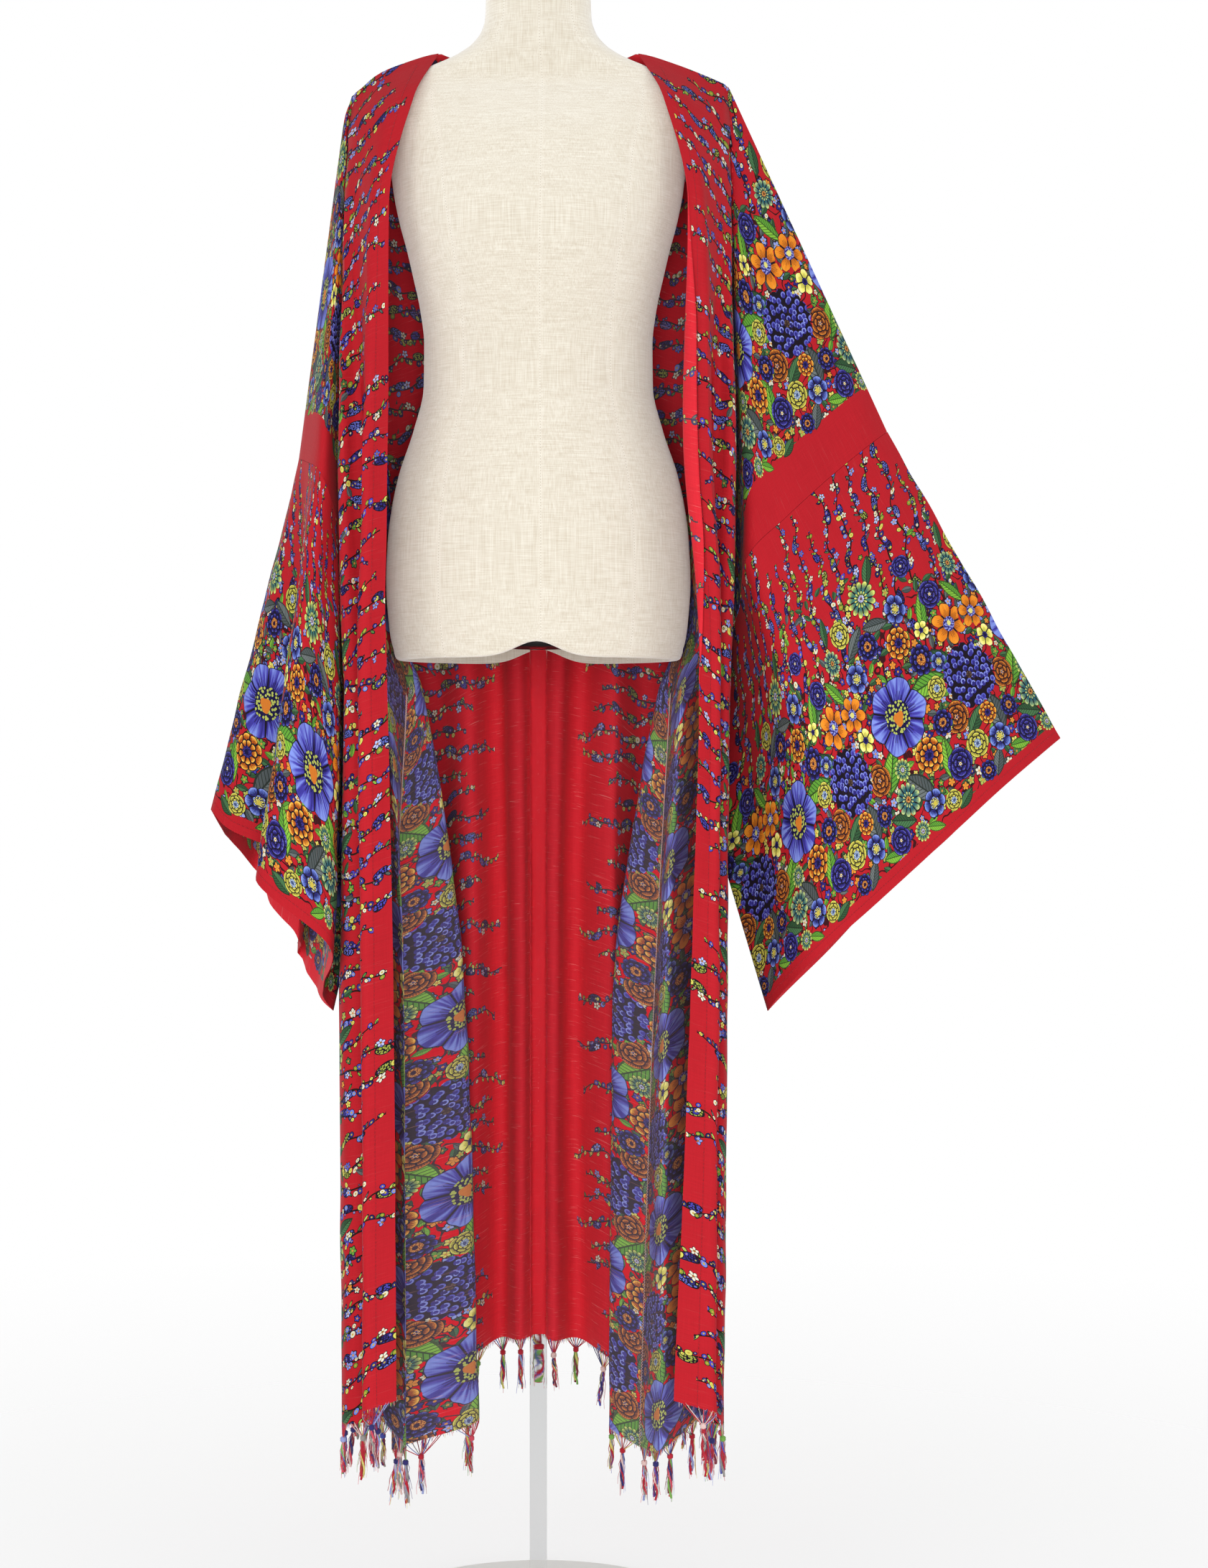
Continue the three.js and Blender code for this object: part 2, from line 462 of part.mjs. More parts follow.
const FINISH = {
  cloth: { color: 0xb5121f, roughness: 0.85, metalness: 0 },
  fringe: { color: 0x8c3a3f, roughness: 0.9, metalness: 0 },
  linen: { color: 0xe4dccb, roughness: 0.9, metalness: 0 },
  black: { color: 0x141414, roughness: 0.6, metalness: 0 },
  clear: { color: 0xe8eef0, roughness: 0.1, metalness: 0, transparent: true, opacity: 0.35 },
  white: { color: 0xe9e9e6, roughness: 0.45, metalness: 0 },
};

const group = new THREE.Group();
function add(name, geometry, finish) {
  const mesh = new THREE.Mesh(geometry, new THREE.MeshStandardMaterial(FINISH[finish]));
  mesh.name = name;
  group.add(mesh);
}

const backRows = backGrid(placesDown());
add("back_panel", wallOver(backRows, { turnedTo: (backRows[0].length - 1) / 2 }), "cloth");
for (const half of [RIGHT, LEFT]) {
  const frontRows = frontGrid(half, placesDown());
  add(`front_panel_${half.name}`, wallOver(frontRows, { turnedTo: half.side > 0 ? frontRows[0].length : 0 }), "cloth");
  add(`sleeve_${half.name}`, wallOver(sleeveGrid(half), { closed: true }), "cloth");
  add(`fringe_front_${half.name}`, wallOver(frontGrid(half, fringePlaces, FRINGE_WALL)), "fringe");
}
add("fringe_back", wallOver(backGrid(fringePlaces, FRINGE_WALL)), "fringe");

const underside = FORM_SECTIONS[0].z + FORM.recess;
const poleTop = underside - STAND.socketHeight;
add("dress_form", dressForm(), "linen");
const socketProfile = [
  [STAND.socketRadius - STAND.edge, poleTop],
  [STAND.socketRadius, poleTop + STAND.edge],
  [STAND.socketRadius, underside - STAND.gap],
];
add("socket", turned(socketProfile), "black");
add("pole", turned([[STAND.poleRadius, STAND.baseHeight + STAND.gap], [STAND.poleRadius, poleTop - STAND.gap]]), "clear");
add("base", turned([[STAND.baseRadius, 0], [STAND.baseRadius, STAND.baseHeight - STAND.edge], [STAND.baseRadius - STAND.edge, STAND.baseHeight]]), "white");

export default group;
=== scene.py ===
"""A long open robe of the kimono kind, with deep sleeves and a fringed hem, on a limbless dress form.

The cloth is laid out in flat millimetres, "across" from the centre line and "down" from the shoulder line,
and is carried from there to its place on the hanging robe. +Z is up, -Y the front and +X the wearer's left.
"""

from __future__ import annotations

import logging
import math
from dataclasses import dataclass, field
from enum import Enum, IntEnum
from typing import Any, Callable, Iterable, Sequence, TypeVar, Union

import bpy
import numpy as np
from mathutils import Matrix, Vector

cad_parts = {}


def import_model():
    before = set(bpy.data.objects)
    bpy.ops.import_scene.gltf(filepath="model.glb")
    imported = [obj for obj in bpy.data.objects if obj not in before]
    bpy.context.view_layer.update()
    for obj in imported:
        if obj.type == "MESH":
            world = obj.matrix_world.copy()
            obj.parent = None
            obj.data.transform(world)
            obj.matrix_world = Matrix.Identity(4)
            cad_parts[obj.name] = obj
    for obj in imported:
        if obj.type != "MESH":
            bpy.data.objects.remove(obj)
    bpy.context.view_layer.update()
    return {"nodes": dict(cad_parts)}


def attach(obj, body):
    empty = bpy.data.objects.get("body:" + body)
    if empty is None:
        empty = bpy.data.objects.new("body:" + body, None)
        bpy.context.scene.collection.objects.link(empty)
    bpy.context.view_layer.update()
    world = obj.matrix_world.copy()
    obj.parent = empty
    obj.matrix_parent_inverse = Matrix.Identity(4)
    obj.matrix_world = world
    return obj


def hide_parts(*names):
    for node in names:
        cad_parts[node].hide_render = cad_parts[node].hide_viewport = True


log = logging.getLogger("kimono_robe")

MM = 0.001
ROOT = "root"
TINY = 1e-9
WHITE = (1.0, 1.0, 1.0, 1.0)

Array = np.ndarray
Piece = bpy.types.Object
Material = bpy.types.Material
Node = bpy.types.Node
NodeTree = bpy.types.NodeTree
Triple = tuple[float, float, float]
Row = TypeVar("Row")


def rows_of(kind: Callable[..., Row], *rows: Sequence[Any]) -> tuple[Row, ...]:
    """Turns rows of plain values into objects of one kind."""
    return tuple(kind(*row) for row in rows)


# ---- driving dimensions, in millimetres


@dataclass(frozen=True)
class Cut:
    """The flat cut of one half of the robe."""

    front_edge: float = 100.0
    tip: float = 200.0
    armhole: float = 590.0
    cuff: float = 965.0
    armhole_depth: float = 510.0
    length: float = 1410.0
    fringe: float = 56.0


CUT = Cut()
HALF_BODY = CUT.armhole - CUT.tip
SEAM_REACH = math.hypot(HALF_BODY, CUT.armhole_depth)
UNDERARM_EASE = 3.0
PLUMB = 0.985
UNDERARM_LEVEL = 642.0
LEVELS = (60.0, 180.0, 420.0, 590.0, UNDERARM_LEVEL, 1000.0, 1440.0)


@dataclass(frozen=True)
class SoftTip:
    """How the right shoulder's tip has sunk: how far inwards and down, and over what width and depth."""

    inwards: float = 3.85
    down: float = 9.35
    width: float = 22.0
    depth: float = 60.0


@dataclass(frozen=True)
class Fades:
    """Over what distances the relief fades out, and how far down it stays out where the cloth rests."""

    centre: float = 14.0
    seam: float = 30.0
    underarm: float = 45.0
    shoulder: float = 150.0
    resting: float = 30.0


@dataclass(frozen=True)
class FoldLine:
    """One fold line of a panel: its place across, and how far out and back it hangs at each level."""

    across: float
    out: tuple[float, ...]
    back: tuple[float, ...]


@dataclass(frozen=True)
class SleeveLine:
    """One line of a sleeve from the armhole to the cuff, at a depth below the top fold."""

    depth: float
    armhole: Triple | None
    cuff: Triple


@dataclass(frozen=True)
class FormSection:
    """One level section of the dress form: its half width and its reach to the front and the back."""

    z: float
    half: float
    front: float
    back: float


@dataclass(frozen=True)
class Crease:
    """A soft ridge between two places of the flat cloth, or a trough where its height is negative."""

    from_across: float
    from_along: float
    to_across: float
    to_along: float
    width: float
    height: float


# ---- the fold lines of the hanging robe

# A front's lines: its edge, the strip's ridge and valley, the second ridge, the outer side and turn, the
# inner fold and the side seam. The back's: the centre line, its pleat and ridge, the inner and the shoulder
# pleat, the corner, the outer side, the inner valley, the flower ridge and the side seam.
FRONT_RIGHT = rows_of(
    FoldLine,
    (100, (127, 150, 149, 151, 150, 143, 140), (-58, -93, -124, -131, -132, -130, -126)),
    (138, (154, 170, 172, 176, 177, 175, 173), (-54, -90, -137, -142, -142, -142, -136)),
    (176, (181, 183, 170, 167, 166, 160, 158), (-38, -66, -101, -101, -101, -99, -96)),
    (239, (198, 198, 196, 194, 193, 195, 194), (-24, -62, -108, -99, -96, -84, -80)),
    (317, (198, 196, 189, 191, 190, 198, 198), (-14, -40, -70, -46, -38, -24, -20)),
    (402.8, (197, 192, 174, 179, 176, 180, 178), (-6, -20, -26, -4, 8, 28, 30)),
    (504.2, (192, 182, 163, 166, 156, 138, 136), (-2, -2, 8, 6, -18, -44, -44)),
    (590, (194, 184, 165, 149, 141, 158, 156), (2, 6, 26, 54, 68, 34, 30)),
)
FRONT_LEFT = rows_of(
    FoldLine,
    (100, (130, 154, 150, 163, 165, 156, 138), (-58, -93, -124, -133, -134, -132, -128)),
    (138, (156, 172, 176, 184, 185, 184, 180), (-54, -90, -137, -140, -140, -140, -138)),
    (176, (182, 185, 174, 172, 172, 172, 170), (-38, -66, -101, -100, -100, -100, -98)),
    (239, (199, 199, 198, 195, 194, 190, 188), (-24, -62, -106, -99, -98, -92, -86)),
    (317, (199, 198, 191, 192, 192, 190, 188), (-14, -40, -70, -46, -40, -30, -26)),
    (402.8, (198, 194, 176, 179, 176, 176, 174), (-6, -20, -26, -4, 6, 24, 28)),
    (496.4, (192, 182, 163, 165, 150, 132, 128), (-2, -2, 6, 4, -30, -66, -64)),
    (590, (194, 184, 165, 149, 140, 121, 106), (2, 5, 22, 50, 63, 44, 44)),
)
BACK_RIGHT = rows_of(
    FoldLine,
    (0, (0, 0, 0, 1, 2, 4, 5), (98, 121, 146, 166, 172, 186, 184)),
    (45, (46, 45, 36, 28, 26, 22, 24), (96, 122, 134, 146, 148, 158, 156)),
    (90, (92, 90, 68, 54, 50, 44, 46), (84, 118, 150, 178, 182, 198, 196)),
    (140, (142, 136, 104, 84, 80, 74, 76), (62, 106, 128, 144, 146, 156, 154)),
    (200, (192, 188, 150, 124, 118, 108, 108), (30, 78, 118, 170, 180, 196, 192)),
    (297.5, (198, 196, 182, 177, 176, 178, 178), (22, 64, 110, 158, 168, 178, 172)),
    (367.7, (198, 198, 190, 190, 190, 194, 194), (16, 54, 88, 118, 124, 118, 112)),
    (434, (195, 190, 173, 162, 160, 132, 126), (13, 44, 74, 102, 106, 116, 110)),
    (496.4, (192, 183, 163, 146, 128, 80, 66), (10, 36, 66, 84, 84, 90, 88)),
    (590, (195, 185, 163, 148, 141, 158, 156), (11, 33, 66, 75, 68, 34, 30)),
)
BACK_LEFT = rows_of(
    FoldLine,
    (0, (0, 0, 0, -1, -2, -4, -5), (98, 121, 146, 166, 172, 186, 184)),
    (45, (46, 45, 34, 25, 22, 16, 14), (96, 122, 136, 148, 150, 160, 152)),
    (90, (94, 92, 66, 50, 46, 38, 40), (84, 118, 148, 174, 178, 192, 190)),
    (140, (144, 138, 102, 84, 80, 76, 74), (62, 106, 126, 140, 142, 150, 144)),
    (200, (194, 190, 150, 118, 112, 102, 104), (30, 78, 120, 168, 178, 192, 188)),
    (297.5, (200, 198, 184, 174, 172, 172, 172), (22, 64, 110, 160, 170, 178, 174)),
    (387.2, (200, 200, 192, 187, 186, 186, 186), (16, 54, 88, 118, 124, 120, 116)),
    (461.3, (195, 190, 173, 160, 158, 134, 132), (13, 44, 74, 100, 104, 106, 104)),
    (527.6, (192, 182, 162, 145, 128, 78, 74), (10, 35, 65, 80, 80, 84, 84)),
    (590, (195, 185, 163, 148, 140, 121, 106), (11, 32, 64, 71, 63, 44, 44)),
)
SLEEVE_RIGHT_FRONT = rows_of(
    SleeveLine, (0, (249, 0, 1213), (344, 4, 843)), (30, (249, -17, 1210), (328, -12, 826)),
    (95, (238, -52, 1203), (262, -18, 796)), (185, (220, -92, 1188), (286, -88, 772)),
    (290, (206, -74, 1140), (210, -104, 706)), (400, (196, -6, 1062), (222, -46, 660)),
    (485, (168, 48, 992), (220, -12, 641)), (510, None, (213, -2, 632)),
)
SLEEVE_RIGHT_BACK = rows_of(
    SleeveLine, (0, (249, 0, 1213), (344, 4, 843)), (30, (251, 17, 1210), (338, 28, 826)),
    (95, (248, 52, 1203), (332, 86, 806)), (165, (239, 80, 1191), (312, 138, 772)),
    (225, (231, 95, 1170), (290, 97, 736)), (280, (223, 105, 1143), (260, 62, 706)),
    (345, (213, 107, 1103), (262, 110, 684)), (410, (202, 104, 1054), (244, 80, 656)),
    (485, (172, 77, 990), (224, 22, 637)), (510, None, (213, -2, 632)),
)
SLEEVE_LEFT_FRONT = rows_of(
    SleeveLine, (0, (366, 0, 1240), (549, 4, 918)), (30, (352, -15, 1229), (530, -12, 904)),
    (95, (310, -42, 1194), (484, -40, 868)), (185, (256, -78, 1144), (420, -64, 812)),
    (290, (216, -92, 1102), (352, -82, 752)), (400, (206, -24, 1040), (284, -74, 690)),
    (485, (174, 44, 990), (246, -42, 647)), (510, None, (237, -30, 634)),
)
SLEEVE_LEFT_BACK = rows_of(
    SleeveLine, (0, (366, 0, 1240), (549, 4, 918)), (30, (354, 16, 1229), (532, 20, 903)),
    (95, (318, 50, 1196), (492, 50, 866)), (185, (272, 86, 1150), (436, 76, 808)),
    (290, (236, 108, 1104), (366, 92, 746)), (400, (212, 100, 1046), (300, 48, 684)),
    (485, (176, 74, 990), (250, 0, 643)), (510, None, (237, -30, 634)),
)
SHOULDER_LINE = (
    (0, (0, 70, 1645)), (50, (50, 62, 1643)), (84, (86, 36, 1640)), (100, (105, 2, 1638)),
    (140, (142, 0, 1627)), (176, (176, 0, 1614)), (200, (199, 0, 1604)),
)
FORM_SECTIONS = rows_of(
    FormSection, (1000, 149, 93, 104), (1011, 152.5, 96, 108), (1037, 157, 100, 114), (1083, 160, 104, 118),
    (1128, 158, 104, 116), (1165, 153, 101, 110), (1196, 146, 98, 101), (1241, 131, 90, 88),
    (1287, 120.5, 84, 79), (1332, 120, 87, 79), (1370, 124.5, 99, 85), (1400, 131, 110, 91),
    (1430, 138, 116, 95), (1460, 146, 115, 97), (1490, 152, 107, 97), (1513, 155, 97, 95),
    (1540, 162, 86, 91), (1570, 172, 66, 78), (1588, 175, 52, 62), (1599, 168, 43, 52), (1610, 144, 39, 46),
    (1623, 115, 40, 46), (1634, 89, 42, 48), (1645, 72, 43, 49), (1658, 61, 44, 50), (1674, 56, 43, 49),
    (1697, 55, 43, 49),
)


# ---- the surface of the hanging cloth


def smooth_rows(places: Sequence[float], values: Sequence[Any], at: Array, rounded: bool = False) -> Array:
    """A smooth curve through rows of numbers at rising places.

    Args:
        places: Where the K rows lie.
        values: The rows, (K, C), or (K, N, C) where each point has rows of its own.
        at: The N places asked for.
        rounded: Turns each fold round rather than to a point.

    Returns:
        The (N, C) numbers of the curve.
    """
    spots, values = np.asarray(places, float), np.asarray(values, float)
    if values.ndim == 2:
        values = values[:, None]
    x = np.clip(at, spots[0], spots[-1])
    k = np.searchsorted(spots[1:-1], x, side="left")
    gaps = np.diff(spots)[:, None, None]
    rise = np.diff(values, axis=0) / gaps
    if len(spots) > 2:
        before, after = rise[:-1], rise[1:]
        if rounded:
            inner = (before * gaps[1:] + after * gaps[:-1]) / (gaps[:-1] + gaps[1:])
        else:
            total = before + after
            inner = np.where(before * after > 0, 2 * before * after / np.where(total == 0, 1, total), 0)
        slopes = np.concatenate([rise[:1], inner, rise[-1:]])
    else:
        slopes = np.concatenate([rise[:1], rise[-1:]])
    column = np.arange(len(x)) if values.shape[1] > 1 else np.zeros(len(x), int)
    span = gaps[k, 0]
    t = (x - spots[k])[:, None] / span
    start, end = values[k, column], values[k + 1, column]
    m0, m1 = slopes[k, column] * span, slopes[k + 1, column] * span
    h = end - start
    return start + t * (m0 + t * (3 * h - 2 * m0 - m1 + t * (m0 + m1 - 2 * h)))


def unit(vectors: Array) -> Array:
    """The vectors at length one."""
    return vectors / np.maximum(np.linalg.norm(vectors, axis=-1, keepdims=True), TINY)


def shoulder_line(across: Array) -> Array:
    """The shoulder line's point at each place across."""
    places, points = zip(*SHOULDER_LINE)
    return smooth_rows(places, points, across)


TIP = shoulder_line(np.array([CUT.tip]))[0]
MIRROR = np.array([-1.0, 1.0, 1.0])


class Panel(Enum):
    """The two sides of the body cloth."""

    FRONT = "front"
    BACK = "back"

    @property
    def beside(self) -> Panel:
        """The other side."""
        return Panel.BACK if self is Panel.FRONT else Panel.FRONT


def along_fold(line: FoldLine, down: Array) -> Array:
    """A fold line's points at distances down the cloth from the shoulder.

    Args:
        line: The fold line.
        down: The N distances.

    Returns:
        The (N, 3) points.
    """
    top = shoulder_line(np.array([min(line.across, CUT.tip)]))[0]
    stops = np.array((0.0, *LEVELS))
    rows = [tuple(top[:2]), *zip(line.out, line.back)]
    plan = smooth_rows(stops, rows, down)
    if line.across == CUT.armhole:
        split = stops.tolist().index(UNDERARM_LEVEL)
        upper = smooth_rows(stops[: split + 1], rows[: split + 1], down)
        lower = smooth_rows(stops[split:], rows[split:], down)
        plan = np.where((down < UNDERARM_LEVEL)[:, None], upper, lower)
    return np.column_stack([plan, top[2] - PLUMB * down])


@dataclass(frozen=True)
class HalfRobe:
    """One half of the hanging robe, which carries flat cloth to its place in space."""

    name: str
    side: int
    front: tuple[FoldLine, ...]
    back: tuple[FoldLine, ...]
    sleeve_front: tuple[SleeveLine, ...]
    sleeve_back: tuple[SleeveLine, ...]
    step: float = 10.0

    @property
    def other(self) -> HalfRobe:
        """The other half of the robe."""
        return LEFT if self.side < 0 else RIGHT

    def folds(self, panel: Panel) -> tuple[FoldLine, ...]:
        """The fold lines of the front or the back."""
        return self.front if panel is Panel.FRONT else self.back

    def underarm_point(self) -> Array:
        """Where the armhole, the side seam and the sleeve's seam meet."""
        return along_fold(self.front[-1], np.array([SEAM_REACH]))[0]

    def body_point(self, panel: Panel, across: Array, down: Array) -> Array:
        """Points of the body cloth, which fans out from the shoulder tip past it.

        Args:
            panel: The front or the back.
            across: Places across.
            down: Places down.

        Returns:
            The (N, 3) points.
        """
        lines = self.folds(panel)
        past = np.maximum(across - CUT.tip, 0)
        reach = np.hypot(past, down)
        places = [line.across for line in lines]
        low = [along_fold(line, reach) for line in lines]
        high = [along_fold(line, reach * 0) for line in lines]
        if panel is Panel.BACK:
            beyond = self.other.back[1]
            places.insert(0, -beyond.across)
            low.insert(0, along_fold(beyond, reach) * MIRROR)
            high.insert(0, along_fold(beyond, reach * 0) * MIRROR)
        turn = np.arctan2(past, down) / np.arcsin(HALF_BODY / np.maximum(reach, SEAM_REACH))
        at = np.where(past > 0, CUT.tip + HALF_BODY * turn, across)
        near = np.maximum(1 - reach / LEVELS[0], 0)[:, None]
        drawn = smooth_rows(places, high, at, rounded=True)
        return smooth_rows(places, low, at, rounded=True) + near * (shoulder_line(across) - drawn)

    def sleeve_end(self, panel: Panel, end: str, depth: Array) -> Array:
        """Points of a sleeve's armhole or cuff line at depths below the top fold.

        Args:
            panel: The front or the back.
            end: The line's name, armhole or cuff.
            depth: The N depths.

        Returns:
            The (N, 3) points.
        """
        lines = self.sleeve_front if panel is Panel.FRONT else self.sleeve_back
        under = tuple(self.underarm_point())
        rows = [getattr(line, end) or under for line in lines]
        return smooth_rows([line.depth for line in lines], rows, depth, rounded=True)

    def cap_point(self, panel: Panel, depth: Array, share: Array) -> Array:
        """Points between the shoulder tip and the armhole, a share of the way to the armhole.

        Args:
            panel: The front or the back.
            depth: The N depths at the armhole.
            share: The N shares.

        Returns:
            The (N, 3) points.
        """
        column = share[:, None]
        straight = TIP + (self.underarm_point() - TIP) * column
        bowed = along_fold(self.folds(panel)[-1], share * SEAM_REACH)
        ruled = TIP + (self.sleeve_end(panel, "armhole", depth) - TIP) * column
        return ruled + ((depth / CUT.armhole_depth) ** 3)[:, None] * (bowed - straight)

    def cloth_point(self, panel: Panel, across: Array, down: Array) -> Array:
        """Points of the front or the back, anywhere from the centre line to the cuff.

        Args:
            panel: The front or the back.
            across: Places across.
            down: Places down.

        Returns:
            The (N, 3) points.
        """
        past = across - CUT.tip
        in_sleeve = across > CUT.armhole
        in_cap = ~in_sleeve & (past > 0) & (down * HALF_BODY < CUT.armhole_depth * past)
        in_body = ~in_sleeve & ~in_cap
        points = np.zeros((len(across), 3))
        if in_sleeve.any():
            share = ((across[in_sleeve] - CUT.armhole) / (CUT.cuff - CUT.armhole))[:, None]
            near = self.sleeve_end(panel, "armhole", down[in_sleeve])
            points[in_sleeve] = near + (self.sleeve_end(panel, "cuff", down[in_sleeve]) - near) * share
        if in_cap.any():
            depth = down[in_cap] * HALF_BODY / past[in_cap]
            points[in_cap] = self.cap_point(panel, depth, past[in_cap] / HALF_BODY)
        if in_body.any():
            points[in_body] = self.body_point(panel, across[in_body], down[in_body])
        return points * (self.side, 1, 1)

    def outward(self, panel: Panel, across: Array, down: Array) -> Array:
        """The cloth's outward directions, each the mean of the four cells round its point.

        Args:
            panel: The front or the back.
            across: Places across.
            down: Places down.

        Returns:
            The (N, 3) unit vectors.
        """
        lowest = np.where(across > CUT.armhole, CUT.armhole_depth, CUT.length + CUT.fringe)
        widest = np.where(down > CUT.armhole_depth, CUT.armhole, CUT.cuff)
        narrowest = CUT.front_edge if panel is Panel.FRONT else -self.step

        def point(a: Array, d: Array) -> Array:
            """The cloth's points, those past the centre line from the other half.

            Args:
                a: Places across.
                d: Places down.

            Returns:
                The points.
            """
            mine = self.cloth_point(panel, np.abs(a), d)
            theirs = self.other.cloth_point(panel, np.abs(a), d) if (a < 0).any() else mine
            return np.where((a < 0)[:, None], theirs, mine)

        middle = point(across, down)
        before = point(np.clip(across - self.step, narrowest, widest), down) - middle
        after = point(np.clip(across + self.step, narrowest, widest), down) - middle
        above = point(across, np.clip(down - self.step, 0, lowest)) - middle
        below = point(across, np.clip(down + self.step, 0, lowest)) - middle
        total = np.zeros_like(middle)
        for p, q in ((after, below), (below, before), (before, above), (above, after)):
            total += unit(np.cross(p, q))
        return unit(total) * self.side * (-1 if panel is Panel.FRONT else 1)


RIGHT = HalfRobe("right", -1, FRONT_RIGHT, BACK_RIGHT, SLEEVE_RIGHT_FRONT, SLEEVE_RIGHT_BACK)
LEFT = HalfRobe("left", 1, FRONT_LEFT, BACK_LEFT, SLEEVE_LEFT_FRONT, SLEEVE_LEFT_BACK)
HALVES = (RIGHT, LEFT)
Places = Sequence[tuple[HalfRobe, Panel, float]]


# ---- shader graphs written as formulas


def linear(code: str) -> tuple[float, float, float, float]:
    """The linear colour of a six-figure hexadecimal code.

    Args:
        code: The code, for red, green and blue.

    Returns:
        Red, green, blue and a full alpha.
    """
    parts = [int(code[i : i + 2], 16) / 255 for i in (0, 2, 4)]
    red, green, blue = (v / 12.92 if v <= 0.04045 else ((v + 0.055) / 1.055) ** 2.4 for v in parts)
    return (red, green, blue, 1.0)


Feed = Union["Wire", float, Sequence[float]]
Inputs = Union[Sequence[Feed], dict[Union[str, int], Feed]]


@dataclass(frozen=True)
class Wire:
    """An output socket that takes part in arithmetic."""

    graph: Graph
    socket: bpy.types.NodeSocket

    def __add__(self, other: Feed) -> Wire:
        """Sum."""
        return self.graph.math("ADD", self, other)

    def __sub__(self, other: Feed) -> Wire:
        """Difference."""
        return self.graph.math("SUBTRACT", self, other)

    def __rsub__(self, other: Feed) -> Wire:
        """Difference from a number."""
        return self.graph.math("SUBTRACT", other, self)

    def __mul__(self, other: Feed) -> Wire:
        """Product."""
        return self.graph.math("MULTIPLY", self, other)

    def __truediv__(self, other: Feed) -> Wire:
        """Quotient."""
        return self.graph.math("DIVIDE", self, other)

    def below(self, other: Feed) -> Wire:
        """1 where this is less than the other."""
        return self.graph.math("LESS_THAN", self, other)

    def above(self, other: Feed) -> Wire:
        """1 where this is more than the other."""
        return self.graph.math("GREATER_THAN", self, other)

    def least(self, other: Feed) -> Wire:
        """The lower of the two."""
        return self.graph.math("MINIMUM", self, other)

    def most(self, other: Feed) -> Wire:
        """The higher of the two."""
        return self.graph.math("MAXIMUM", self, other)

    def size(self) -> Wire:
        """The value without its sign."""
        return self.graph.math("ABSOLUTE", self)

    def floor(self) -> Wire:
        """The whole number below."""
        return self.graph.math("FLOOR", self)

    def fract(self) -> Wire:
        """What is left above the whole number below."""
        return self.graph.math("FRACT", self)

    def clamp(self) -> Wire:
        """The value kept between 0 and 1."""
        return self.graph.math("ADD", self, 0.0, use_clamp=True)


